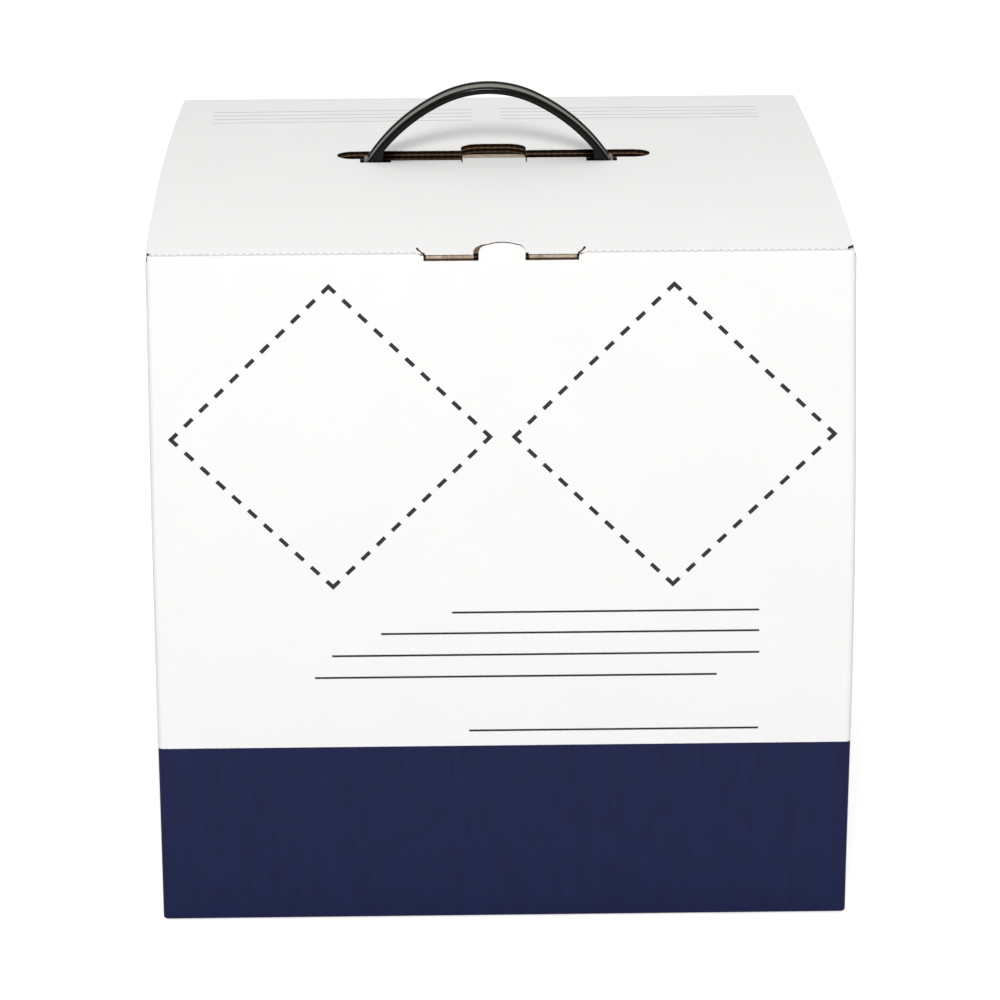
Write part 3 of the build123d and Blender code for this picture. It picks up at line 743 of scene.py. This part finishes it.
def slit_sag(u, v):
    """How far the strip in front of the slit, from the left foot to the finger tongue, is pressed down."""
    along = np.clip((u - NOTCHES[0][1]) / SAG_RAMP + 1, 0, 1) * (u < -(FINGER_W + FINGER_GAP) / 2)
    across = np.where(v < SLIT_Y, np.clip((v - NOTCH_Y) / (SLIT_NEAR - NOTCH_Y), 0, 1), 0.0)
    return SLIT_SAG * along * across


def lean_place(u, v, h):
    """Tuck flap: v runs down the flap from the fold, which leans in behind the front wall."""
    inward = BOARD - h
    return np.column_stack([u, TUCK_FACE + v * sin(TUCK_LEAN) + inward * cos(TUCK_LEAN),
                            LID_TOP - v * cos(TUCK_LEAN) + inward * sin(TUCK_LEAN)])


def dust_place(side):
    """Dust flap: u runs along Y, v from the fold inwards."""
    def place(u, v, h):
        bow = side_bow(side, u, np.full_like(u, DUST_TOP)) * np.clip(1 - v / (HALF_W / 2), 0, 1)
        return np.column_stack([side * (HALF_W - v + bow), u, DUST_TOP - BOARD + h])
    return place


def floor_place(side, level):
    """Bottom flap under (level 0) or over (level 1) the other pair; v runs inwards from the wall."""
    def place(u, v, h):
        if level:
            return np.column_stack([side * (HALF_W - v), u, 2 * BOARD - h])
        return np.column_stack([u, side * (HALF_D - v), BOARD - h])
    return place


def tongue_place(z_top):
    """Finger tongue: v runs back from its crease, and the tongue is pressed down."""
    def place(u, v, h):
        down = BOARD - h
        return np.column_stack([u, SLIT_NEAR + v * cos(FINGER_BEND) - down * sin(FINGER_BEND),
                                z_top - v * sin(FINGER_BEND) - down * cos(FINGER_BEND)])
    return place


def lid_under_place(u, v, h):
    """Reinforcement glued under the lid."""
    return np.column_stack([u, v, LID_TOP - 2 * BOARD + h])


# ---- outlines of the flat pieces ------------------------------------------------------------
def mirrored(points):
    """The same points on the left, in the opposite order."""
    return [(-u, v) for u, v in points[::-1]]


def tongue_top(half, top):
    """Right half of the lock tongue's outline, from its foot to the middle of its crown."""
    shoulder = top - TONGUE_CROWN - TONGUE_SHOULDER
    arc = [(half - TONGUE_SHOULDER * (1 - cos(a)), shoulder + TONGUE_SHOULDER * sin(a))
           for a in np.linspace(0, pi / 2, 8)]
    span = half - TONGUE_SHOULDER
    crown = [(u, top - TONGUE_CROWN * (u / span) ** 2) for u in np.linspace(span, 0, 8)[1:]]
    return arc + crown


def front_outline(edge, bottom, top):
    """Front wall with the lock notch and tongue; top is the height outside the lock."""
    notch, notch_z = LOCK_W / 2 + LOCK_SEAM, FOLD_TOP - LOCK_DROP
    hook = [(notch + HOOK * cos(a), FOLD_TOP - HOOK_TOP - HOOK_DROP * sin(a))
            for a in np.linspace(0, pi / 2, 6)]

    def side(worn):
        half = TONGUE_W / 2 - worn
        return [(edge, bottom), (edge, top), (notch + HOOK, top), *hook, (notch, notch_z), (half, notch_z),
                *tongue_top(half, FOLD_TOP + TONGUE_RISE)]

    return np.array(side(TONGUE_WORN[1]) + mirrored(side(TONGUE_WORN[0]))[1:])


def relief_side(radius):
    """Right relief cut's edge of a radius, from the front fold back into the lid."""
    middle = LOCK_W / 2 - RELIEF_R * cos(RELIEF_TURN)
    return [(middle + radius * cos(a), TUCK_FACE + RELIEF_R * sin(RELIEF_TURN) + radius * sin(a))
            for a in np.linspace(-RELIEF_TURN, 0, 9)]


def lid_outline(front, back, torn):
    """Lid with its lock lips, the gate round the tongue, the relief cuts and its small corner cuts.

    Torn, the paper is gone along the tongue's left shoulder.
    """
    gate, gate_y = TONGUE_W / 2 + LOCK_CLEAR, -IN_Y + LOCK_CLEAR
    inner, outer = relief_side(RELIEF_R - RELIEF_W / 2), relief_side(RELIEF_R + RELIEF_W / 2)

    def side(cut):
        return [(inner[0][0], FRONT)] + inner + outer[::-1] + [
            (outer[0][0], front), (LID_SIDE - cut, front), (LID_SIDE - 0.9 * cut, front + 1.5 * cut),
            (LID_SIDE, front + 3 * cut), (LID_SIDE, back)]

    worn = [(-gate, FRONT), (-gate, gate_y)]
    if torn:
        worn = [(u - gate, FRONT + v) for u, v in TORN] + [(TORN_FOOT - gate, gate_y)]
    return np.array([(gate, gate_y), (gate, FRONT)] + side(LID_CUTS[1]) + mirrored(side(LID_CUTS[0])) + worn)


def slit_outline(clear):
    """Carry slit with the finger tongue's outline, the cuts beside it and the notches for the feet."""
    half, wide = FINGER_W / 2, FINGER_W / 2 + clear
    cut, end, r = SLIT_NEAR - FINGER_CUT, SLIT_FAR + FINGER_REACH + clear, FINGER_R + clear
    mouth, inside_r = NOTCH_RADII

    def foot_notch(a, b):
        return [(a, SLIT_NEAR, mouth), (a, NOTCH_Y, inside_r), (b, NOTCH_Y, inside_r), (b, SLIT_NEAR, mouth)]

    return rounded([(-SLIT_HALF, SLIT_NEAR, SLIT_END_R), *foot_notch(*NOTCHES[0]),
                    (-wide, SLIT_NEAR, 0), (-wide, cut, 0), (-half, cut, 0), (-half, SLIT_NEAR, 0),
                    (half, SLIT_NEAR, 0), (half, cut, 0), (wide, cut, 0), (wide, SLIT_NEAR, 0),
                    *foot_notch(*NOTCHES[1]),
                    (SLIT_HALF, SLIT_NEAR, SLIT_END_R), (SLIT_HALF, SLIT_FAR, SLIT_END_R),
                    (wide, SLIT_FAR, 0), (wide, end, r), (-wide, end, r), (-wide, SLIT_FAR, 0),
                    (-SLIT_HALF, SLIT_FAR, SLIT_END_R)])


def finger_outline(length, start=0.0):
    """Finger tongue from its crease, round at its free corners."""
    half = FINGER_W / 2
    return rounded([(-half, start, 0), (half, start, 0), (half, length, FINGER_R), (-half, length, FINGER_R)])


def plain(u0, u1, v0, v1):
    """Rectangle."""
    return np.array([(u0, v0), (u1, v0), (u1, v1), (u0, v1)])


def plate(x, y, wide, deep, r):
    """Rectangle round a middle, with rounded corners."""
    return rounded([(u, v, r) for u, v in plain(x - wide / 2, x + wide / 2, y - deep / 2, y + deep / 2)])


# ---- carton ---------------------------------------------------------------------------------
def corner_columns(half):
    """Lines across a wall's upright folds, five degrees apart, and a few along its flat part."""
    turns = np.radians(np.arange(0, 46, 5)) * CORNER_R
    folds = half - CORNER_R + turns
    return np.concatenate([-folds, np.linspace(-half + CORNER_R, half - CORNER_R, 17)[1:-1], folds])


def foot_rows():
    """Lines along the fold at the floor."""
    return FOOT_R - np.radians(np.arange(0, 46, 9)) * FOOT_R


def build_walls():
    """Four walls: each liner goes half way round its folds, so that the walls meet in a closed skin."""
    edge, foot, roll = CORNER_R * (pi / 4 - 1), FOOT_R * (1 - pi / 4), FOLD_TOP - ROLL_R
    levels = np.linspace(0, DUST_TOP, 14)[1:-1]
    rows = np.concatenate([foot_rows(), levels])
    waves = flute_columns(-HALF_W, HALF_W)
    waves = waves[np.abs(waves) > LOCK_W / 2]
    roll_rows = roll + np.concatenate([np.linspace(-ROLL_NEAR, 0, 4),
                                       np.radians(np.arange(10, 91, 10)) * ROLL_R])
    liner = front_outline(HALF_W + edge, foot, roll + ROLL_R * pi / 2 + BOARD - ROLL_R)
    panel("front_panel", "carton", [liner], [front_outline(IN_X, BOARD, roll - ROLL_CORE)], front_place,
          np.concatenate([corner_columns(HALF_W), waves]), np.concatenate([rows, roll_rows]), levels)
    panel("back_panel", "carton", [plain(-HALF_W - edge, HALF_W + edge, foot, LID_TOP)],
          [plain(-IN_X, IN_X, BOARD, LID_TOP - BOARD)], back_place, corner_columns(HALF_W), rows, levels)
    for side, word in SIDES:
        panel(f"{word}_panel", "carton", [plain(-HALF_D - edge, HALF_D + edge, foot, DUST_TOP)],
              [plain(-IN_Y, IN_Y, BOARD, DUST_TOP - BOARD - CORE_SHORT)], side_place(side),
              corner_columns(HALF_D), rows, levels, 6)


def build_bottom():
    """Bottom flaps: two long ones outside, two short ones inside."""
    reach = HALF_D - OUTER_FLAP_GAP
    for side, word in ((-1, "front"), (1, "back")):
        panel(f"bottom_flap_{word}", "carton", [plain(-HALF_W + CORNER_R, HALF_W - CORNER_R, FOOT_R, reach)],
              [plain(-IN_X, IN_X, BOARD, reach)], floor_place(side, 0), samples=6)
    for side, word in SIDES:
        outline = plain(INNER_FLAP_GAP - IN_Y, IN_Y - INNER_FLAP_GAP, BOARD, INNER_FLAP_LEN)
        core(f"bottom_flap_{word}_board", "carton", [outline], floor_place(side, 1), (), 6,
             f"bottom_flap_{word}", True)


def rubbed_edges():
    """Thin strips on the cut edges of the lock: the lid's lips and the front wall's notch."""
    inner, outer = TONGUE_W / 2 + LOCK_CLEAR + RUBBED_GAPS[0], LOCK_W / 2 - RUBBED_GAPS[1]
    notch_z = FOLD_TOP - LOCK_DROP
    for side, word in SIDES:
        x0, x1 = sorted((side * inner, side * outer))
        lip = plain(x0, x1, *[LID_TOP - down for down in RUBBED_LIP])
        upright_slab(f"lid_lip_edge_{word}", lip, (FRONT - RUBBED_PROUD, FRONT + RUBBED_T), RUBBED_R,
                     "lid", "printed_board", rubbed_and_shaded_liner)
        notch = plain(x0, x1, *[FRONT + y for y in RUBBED_NOTCH])
        slab(f"lock_notch_edge_{word}", notch, (notch_z - RUBBED_T, notch_z + RUBBED_PROUD), RUBBED_R,
             "carton", "printed_board", rubbed_and_shaded_liner)


def build_lid():
    """Lid, its pressed finger tongue, the reinforcement with its own tongue, and the lock's rubbed edges."""
    start, slit = TUCK_FACE + TUCK_R, slit_outline(FINGER_GAP)
    roll = start - TUCK_R * np.radians(np.arange(0, 43, 6))
    off_edges = NOTCH_Y + 0.23, SLIT_NEAR - 0.31            # lines kept just off the outline's own
    levels = np.concatenate([np.linspace(FRONT + 10, BACK - 2, 18), np.linspace(*off_edges, 5)])
    columns = np.concatenate([[-LID_SIDE * 0.9, -LID_SIDE * 0.75], np.linspace(-HALF_W / 2, HALF_W / 2, 9),
                              [LID_SIDE * 0.75, LID_SIDE * 0.9],
                              [NOTCHES[0][1] + 0.13, -FINGER_W / 2 - FINGER_GAP - 0.17]])
    panel("lid_panel", "lid", [lid_outline(start - TUCK_R * (pi / 2 - TUCK_LEAN) / 2, BACK, True), slit],
          [lid_outline(start, BACK - BOARD, False), slit], lid_place, columns,
          np.concatenate([roll, levels]), levels)
    finger, place = SLIT_W + FINGER_REACH, tongue_place(LID_TOP)
    # the finger tongue's liner is browned: painted shade of the pressed tongue, and rubbed
    skin("finger_tongue_liner", None, "lid", [finger_outline(finger, CREASE_W)], place, surface=rubbed_and_shaded_liner)
    core("finger_tongue_core", "lid", [finger_outline(finger)], place)
    core("handle_reinforcement_board", "lid", [plate(0, SLIT_Y, PATCH_W, PATCH_D, PATCH_R), slit],
         lid_under_place, replaced="handle_reinforcement", kraft_outside=True)
    core("reinforcement_tongue_board", "lid", [finger_outline(finger + BOARD)], tongue_place(LID_TOP - BOARD),
         kraft_outside=True)
    rubbed_edges()


def build_flaps():
    """Tuck flap, notched below the lock, and dust flaps, tapered from their folds."""
    notch, depth = LOCK_W / 2 + LOCK_CLEAR, BOARD + LOCK_DROP
    start = TUCK_R * tan((pi / 2 - TUCK_LEAN) / 2) / 2
    root, end = TUCK_HALF
    outline = rounded([(-root, start, 0), (-notch, start, 0), (-notch, depth, 0), (notch, depth, 0),
                       (notch, start, 0), (root, start, 0), (end, TUCK_LEN, TUCK_END_R),
                       (-end, TUCK_LEN, TUCK_END_R)])
    panel("tuck_flap", "tuck", [outline], [outline], lean_place)
    y0, y1 = DUST_SETBACK[0] - IN_Y, IN_Y - DUST_SETBACK[1]
    in0, in1 = (DUST_LEN * tan(angle) for angle in DUST_TAPER)
    for side, word in SIDES:
        outline = rounded([(y0, 0, 0), (y0 + in0, DUST_LEN, DUST_END_R), (y1 - in1, DUST_LEN, DUST_END_R),
                           (y1, 0, 0)])
        kraft = np.column_stack([outline[:, 0], np.maximum(outline[:, 1], BOARD)])
        panel(f"dust_flap_{word}", f"dust_{word}", [outline], [kraft], dust_place(side),
              np.linspace(y0, y1, 16)[1:-1], samples=6)


# ---- carry handle ---------------------------------------------------------------------------
HANDLE_X, HANDLE_Y = -2.6, 27.6              # middle of the arch
HANDLE_TOP = high("carry_handle").z
HANDLE_FOOT = low("carry_handle").z
HANDLE_W, HANDLE_WEB, HANDLE_RIM_H, HANDLE_RIM_W = 16.4, 2.2, 3.5, 2.6
RIM_RADII, RIM_IN_R, WEB_R = (1.3, 0.9), 0.6, 0.2       # rims: front and back, inside; foot of the web
WEB_HALF, WEB_EDGE = HANDLE_W / 2 - HANDLE_RIM_W - 0.3, 0.5   # rims slope by 0.3; the web's painted reflection and roughness start at the edge
CROWN_R, CROWN_END, FLANK_R = 52.5, radians(25.7), 87.5
BOSS, BOSS_LIFT, BOSS_SUNK, BOSS_R, BOSS_EDGE = (7.8, 17.0), 0.1, 0.3, 1.2, 0.8
GUSSET_RISE, GUSSET_FOOT, GUSSET_SUNK, GUSSET_INSET = 8.0, 3.0, 1.5, 0.15
BAR_W, BAR_T, BAR_Y, BAR_D, BAR_R = 18.0, 2.6, 31.4, 37.8, 4.0


def strap_section():
    """Closed outline of the strap: across its width, and depth below its outer curve.

    Two rounded rims stand proud of a thin web on both faces.
    """
    w, rim, web = HANDLE_W / 2, HANDLE_W / 2 - HANDLE_RIM_W, WEB_HALF - WEB_EDGE
    sunk = (HANDLE_RIM_H - HANDLE_WEB) / 2
    top = [(-w, 0, RIM_RADII[0]), (-rim, 0, RIM_IN_R), (-WEB_HALF, sunk, WEB_R), (-web, sunk, 0),
           (web, sunk, 0), (WEB_HALF, sunk, WEB_R), (rim, 0, RIM_IN_R), (w, 0, RIM_RADII[1])]
    under = [(u, HANDLE_RIM_H - d, r) for u, d, r in top[::-1]]
    return rounded(top + under, radians(18))


def flank_slope(level, depth):
    """Slope of the arch's flank where it passes a level, at a depth below its outer curve."""
    middle = HANDLE_TOP - CROWN_R - (FLANK_R - CROWN_R) * cos(CROWN_END)
    return np.arccos((level - middle) / (FLANK_R - depth))


def strap_point(slope, depth):
    """X and Z on the arch where it has a slope, depth below the outer curve.

    The outer curve is a crown arc with a flatter arc tangent to it on each side.
    """
    size = np.abs(slope)
    extra = np.where(size <= CROWN_END, 0.0, FLANK_R - CROWN_R)
    r = CROWN_R + extra - depth
    x = np.sign(slope) * (r * np.sin(size) - extra * sin(CROWN_END))
    return HANDLE_X + x, HANDLE_TOP - CROWN_R + r * np.cos(size) - extra * cos(CROWN_END)


def flank_x(side, level, depth):
    """X of the left (-1) or right (+1) flank at a level."""
    return float(strap_point(side * flank_slope(level, depth), depth)[0])


def build_handle():
    """Moulded strap swept along three tangent arcs, with a boss, a gusset and a cross bar at each foot.

    Point (i, j) of the strap is the section's point j at slope i, from the left foot to the right one.
    """
    section = strap_section()
    slopes = np.linspace(-1, 1, 97)[:, None] * flank_slope(HANDLE_FOOT, section[:, 1])
    x, z = strap_point(slopes, section[:, 1])
    y = np.broadcast_to(HANDLE_Y + section[:, 0], x.shape)
    points = np.stack([x, y, z], axis=-1).reshape(-1, 3) * MM
    n, m = x.shape
    i, j = np.meshgrid(np.arange(n - 1), np.arange(m), indexing="ij")
    here, beside = i * m + j, i * m + (j + 1) % m
    sides = np.stack([here, here + m, beside + m, beside], axis=-1).reshape(-1, 4)
    faces = [*sides, range(m), range(n * m - 1, (n - 1) * m - 1, -1)]
    # mask of the web, for its painted reflection and roughness
    web = (np.abs(section[:, 0]) < WEB_HALF - 0.8 * WEB_EDGE).astype(float)
    web_sheen = np.tile(np.column_stack([web, web * 0, web * 0]), (n, 1))
    strap = make_object("carry_handle_strap", points, faces, "handle", moulded_black,
                        web_sheen)
    fix_normals(strap)
    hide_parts("carry_handle")
    middle, gusset_top, low_z = HANDLE_RIM_H / 2, LID_TOP + GUSSET_RISE, LID_TOP - GUSSET_SUNK
    for side, word in SIDES:
        x = flank_x(side, LID_TOP, middle)
        slab(f"carry_handle_bar_{word}", plate(x, BAR_Y, BAR_W, BAR_D, BAR_R),
             (HANDLE_FOOT, HANDLE_FOOT + BAR_T))
        slab(f"carry_handle_boss_{word}", plate(x, HANDLE_Y, *BOSS, BOSS_R),
             (HANDLE_FOOT + BOSS_LIFT, LID_TOP - BOSS_SUNK), BOSS_EDGE)
        inner = flank_x(side, LID_TOP, HANDLE_RIM_H) - side * GUSSET_FOOT
        gusset = np.array([(x, low_z), (inner, low_z), (inner, LID_TOP),
                           (flank_x(side, gusset_top, middle), gusset_top)])
        half = HANDLE_W / 2 - GUSSET_INSET
        upright_slab(f"carry_handle_gusset_{word}", gusset, (HANDLE_Y - half, HANDLE_Y + half))


# ---- print ----------------------------------------------------------------------------------
def printed(name, body, strips, place, surface):
    """Ink film: flat strips, each four (u, v) corners, lifted just off the liner by place."""
    flat = np.array(strips, dtype=float).reshape(-1, 2)
    zero = flat[:, 0] * 0
    points = place(flat[:, 0], flat[:, 1], zero + BOARD + INK_LIFT) * MM
    triangles = (4 * np.arange(len(strips))[:, None, None] + [(0, 1, 2), (0, 2, 3)]).reshape(-1, 3)
    points, triangles, flat = outward((points, triangles, np.insert(flat, 2, 0.0, axis=1) * MM), place)
    obj = make_object(name, points, triangles, body, surface, flat, smooth=False)
    thicken(obj, INK_T * MM, -1.0)


def strip(a, b, width):
    """Straight strip from a to b."""
    a, b = np.array(a, dtype=float), np.array(b, dtype=float)
    along = (b - a) / np.linalg.norm(b - a)
    side = np.array((-along[1], along[0])) * width / 2
    return [a - side, b - side, b + side, a + side]


def corner_dash(corner, middle, along, length):
    """Half dash that starts at a diamond's corner, mitred against its neighbour on the line to the middle."""
    away = (corner - middle) / np.linalg.norm(corner - middle)
    reach = DASH_W / 2 / abs(along[0] * away[1] - along[1] * away[0])
    side = np.array((-along[1], along[0])) * DASH_W / 2
    side = side * np.sign(side @ away)
    end = corner + along * length
    return [corner + away * reach, corner - away * reach, end - side, end + side]


def diamond_dashes(middle):
    """Dashed diamond: even dashes along each side, and an angled pair of half dashes at each corner."""
    middle, tip = np.array(middle), CORNER_DASH_LEN
    corners = [middle + np.array(DIAMOND_HALF) * d for d in ((0, 1), (1, 0), (0, -1), (-1, 0))]
    strips = []
    for a, b in zip(corners, corners[1:] + corners[:1]):
        side = np.linalg.norm(b - a)
        along = (b - a) / side
        gap = (side - 2 * tip - DASHES * DASH_LEN) / (DASHES + 1)
        starts = tip + gap + np.arange(DASHES) * (DASH_LEN + gap)
        strips += [corner_dash(a, middle, along, tip), corner_dash(b, middle, -along, tip)]
        strips += [strip(a + along * start, a + along * (start + DASH_LEN), DASH_W) for start in starts]
    return strips


def build_front_print():
    """Two dashed diamonds and five form rules on the front."""
    for word, middle in zip(("left", "right"), DIAMONDS):
        printed(f"diamond_{word}", "carton", diamond_dashes(middle), front_place, printed_ink)
    rules = [strip((x0, z), (x1, z), RULE_W) for x0, x1, z in RULES]
    printed("form_rules", "carton", rules, front_place, printed_ink)


def build_lid_print():
    """Two blocks of thin rules at the back of the lid."""
    rules = [strip((x0, y), (x1, y + (x1 - x0) * slope), LID_RULE_W) for x0, x1, far, near, slope in LID_RULES
             for y in np.linspace(far, near, LID_RULE_COUNT)]
    printed("lid_rules", "lid", rules, lid_place, fine_rules)


# ---- finishes on the CAD nodes that stay ----------------------------------------------------
CAD_FINISHES = {
    "insulated_base": foam_beads, "insulated_lid": foam_beads, "secondary_jar": natural_polypropylene,
    "jar_cap": red_cap, "jar_seal": seal_rubber, "absorbent_sleeve": absorbent_sheet,
    "glue_flap": kraft_paper, "jar_locator": kraft_paper,
}


def finish_inside():
    """Materials of the foam liner, the jar and its locator."""
    for node, surface in CAD_FINISHES.items():
        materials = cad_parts[node].data.materials
        materials.clear()
        materials.append(material(surface))


# ---- stage ----------------------------------------------------------------------------------
CAMERA_AT = Vector((-0.03219, -2.09657, 0.76991))
CAMERA_YAW, CAMERA_PITCH, CAMERA_ROLL = 0.0161, 0.2889, -0.0054
CAMERA_FOCAL, CAMERA_SENSOR = 4544.515, 36.0            # pixels, for a picture 1000 pixels wide; millimetres
KEY_AT, KEY_AIM, KEY_SIZE, KEY_WATTS = Vector((-0.09, -2.30, 1.585)), Vector((0.0, 0.0, 0.30)), 0.50, 54.8
WORLD_LEVEL, WORLD_UP, WORLD_BACK = 0.14, 0.63, 0.58    # strength level with the box, from above, behind
WORLD_LEAST = 0.05
FLOOR_GLOW, FLOOR_HALF, FLOOR_NEAR, FLOOR_Z = 0.62, 6.0, -1.3, -0.0004


def staged(name, data):
    """A new object of the stage, linked to the scene."""
    obj = bpy.data.objects.new(name, data)
    bpy.context.scene.collection.objects.link(obj)
    return obj


def build_floor():
    """Flat floor from near the box to far behind it."""
    mesh = bpy.data.meshes.new("floor")
    corners = plain(-FLOOR_HALF, FLOOR_HALF, FLOOR_NEAR, FLOOR_HALF)
    mesh.from_pydata([(x, y, FLOOR_Z) for x, y in corners], [], [(0, 1, 2, 3)])
    mesh.materials.append(material(studio_floor))
    staged("floor", mesh)


def build_lights():
    """A soft key light, and a world that is brighter from above and behind, and white to the camera."""
    light = bpy.data.lights.new("Key", "AREA")
    light.shape, light.size, light.energy = "SQUARE", KEY_SIZE, KEY_WATTS
    key = staged("Key", light)
    key.location, key.rotation_euler = KEY_AT, (KEY_AIM - KEY_AT).to_track_quat("-Z", "Y").to_euler()
    world = bpy.data.worlds.new("Studio")
    bpy.context.scene.world = world
    world.use_nodes = True
    tree = world.node_tree
    way = add(tree, "TexCoord", output="Generated")
    back, up = (add(tree, "SeparateXYZ", [way], i) for i in (1, 2))
    strength = add(tree, "Math", (up, WORLD_UP, WORLD_LEVEL), operation="MULTIPLY_ADD")
    strength = add(tree, "Math", (back, WORLD_BACK, strength), operation="MULTIPLY_ADD")
    strength = add(tree, "Math", (strength, WORLD_LEAST), operation="MAXIMUM")
    seen = add(tree, "LightPath", output="Is Camera Ray")
    plug(tree, next(n for n in tree.nodes if n.type == "BACKGROUND"), {
        "Color": (1.0, 1.0, 1.0, 1.0), "Strength": add(tree, "Math", (strength, seen), operation="MAXIMUM")})


def build_camera():
    """Camera turned by its yaw, pitch and roll."""
    level = Vector((sin(CAMERA_YAW), cos(CAMERA_YAW), 0.0))
    across = Vector((cos(CAMERA_YAW), -sin(CAMERA_YAW), 0.0))
    ahead = level * cos(CAMERA_PITCH) - Vector((0.0, 0.0, sin(CAMERA_PITCH)))
    rise = across.cross(ahead)
    right = cos(CAMERA_ROLL) * across + sin(CAMERA_ROLL) * rise
    up = -sin(CAMERA_ROLL) * across + cos(CAMERA_ROLL) * rise
    lens = bpy.data.cameras.new("Camera")
    lens.sensor_width, lens.lens, lens.clip_end = CAMERA_SENSOR, CAMERA_FOCAL * CAMERA_SENSOR / 1000, 50.0
    camera = staged("Camera", lens)
    camera.matrix_world = Matrix.Translation(CAMERA_AT) @ Matrix((right, up, -ahead)).transposed().to_4x4()
    bpy.context.scene.camera = camera


def build_stage():
    """Floor, light and camera."""
    build_floor()
    build_lights()
    build_camera()
    bpy.context.scene.view_settings.view_transform = "Standard"


# ---- operators ------------------------------------------------------------------------------
class TRANSPORTBOX_OT_walls(bpy.types.Operator):
    """Builds the four corrugated walls with the lock notch and tongue"""

    bl_idname = "transport_box.walls"
    bl_label = "Walls"

    def execute(self, context):
        build_walls()
        return {"FINISHED"}


class TRANSPORTBOX_OT_bottom(bpy.types.Operator):
    """Builds the four bottom flaps"""

    bl_idname = "transport_box.bottom"
    bl_label = "Bottom flaps"

    def execute(self, context):
        build_bottom()
        return {"FINISHED"}


class TRANSPORTBOX_OT_lid(bpy.types.Operator):
    """Builds the lid, its reinforcement and the pressed finger tongue"""

    bl_idname = "transport_box.lid"
    bl_label = "Lid"

    def execute(self, context):
        build_lid()
        return {"FINISHED"}


class TRANSPORTBOX_OT_flaps(bpy.types.Operator):
    """Builds the tuck flap and the dust flaps"""

    bl_idname = "transport_box.flaps"
    bl_label = "Tuck and dust flaps"

    def execute(self, context):
        build_flaps()
        return {"FINISHED"}


class TRANSPORTBOX_OT_handle(bpy.types.Operator):
    """Builds the moulded carry handle"""

    bl_idname = "transport_box.handle"
    bl_label = "Carry handle"

    def execute(self, context):
        build_handle()
        return {"FINISHED"}


class TRANSPORTBOX_OT_front_print(bpy.types.Operator):
    """Prints the dashed diamonds and the form rules"""

    bl_idname = "transport_box.front_print"
    bl_label = "Front print"

    def execute(self, context):
        build_front_print()
        return {"FINISHED"}


class TRANSPORTBOX_OT_lid_print(bpy.types.Operator):
    """Prints the thin rules on the lid"""

    bl_idname = "transport_box.lid_print"
    bl_label = "Lid print"

    def execute(self, context):
        build_lid_print()
        return {"FINISHED"}


class TRANSPORTBOX_OT_inside(bpy.types.Operator):
    """Gives the foam liner, the jar and its locator their materials"""

    bl_idname = "transport_box.inside"
    bl_label = "Inside finishes"

    def execute(self, context):
        finish_inside()
        return {"FINISHED"}


class TRANSPORTBOX_OT_stage(bpy.types.Operator):
    """Sets up the floor, the lights and the camera"""

    bl_idname = "transport_box.stage"
    bl_label = "Stage"

    def execute(self, context):
        build_stage()
        return {"FINISHED"}


OPERATORS = (TRANSPORTBOX_OT_walls, TRANSPORTBOX_OT_bottom, TRANSPORTBOX_OT_lid, TRANSPORTBOX_OT_flaps,
             TRANSPORTBOX_OT_handle, TRANSPORTBOX_OT_front_print, TRANSPORTBOX_OT_lid_print,
             TRANSPORTBOX_OT_inside, TRANSPORTBOX_OT_stage)


class TRANSPORTBOX_PT_build(bpy.types.Panel):
    """Sidebar panel with the box's sizes, colours and building steps"""

    bl_idname = "TRANSPORTBOX_PT_build"
    bl_label = "Transport box"
    bl_space_type = "VIEW_3D"
    bl_region_type = "UI"
    bl_category = "Transport box"

    def draw(self, context):
        for group in (context.scene.transport_box_sizes, context.scene.transport_box_colours):
            for name in group.bl_rna.properties.keys():
                if name not in ("rna_type", "name"):
                    self.layout.prop(group, name)
        for operator in OPERATORS:
            self.layout.operator(operator.bl_idname)


CLASSES = (TransportBoxSizes, TransportBoxColours) + OPERATORS + (TRANSPORTBOX_PT_build,)


def register():
    for cls in CLASSES:
        bpy.utils.register_class(cls)
    bpy.types.Scene.transport_box_sizes = bpy.props.PointerProperty(type=TransportBoxSizes)
    bpy.types.Scene.transport_box_colours = bpy.props.PointerProperty(type=TransportBoxColours)


def unregister():
    del bpy.types.Scene.transport_box_colours
    del bpy.types.Scene.transport_box_sizes
    for cls in reversed(CLASSES):
        bpy.utils.unregister_class(cls)


def main():
    register()
    for operator in OPERATORS:
        group, name = operator.bl_idname.split(".")
        getattr(getattr(bpy.ops, group), name)()


if __name__ == "__main__":
    main()
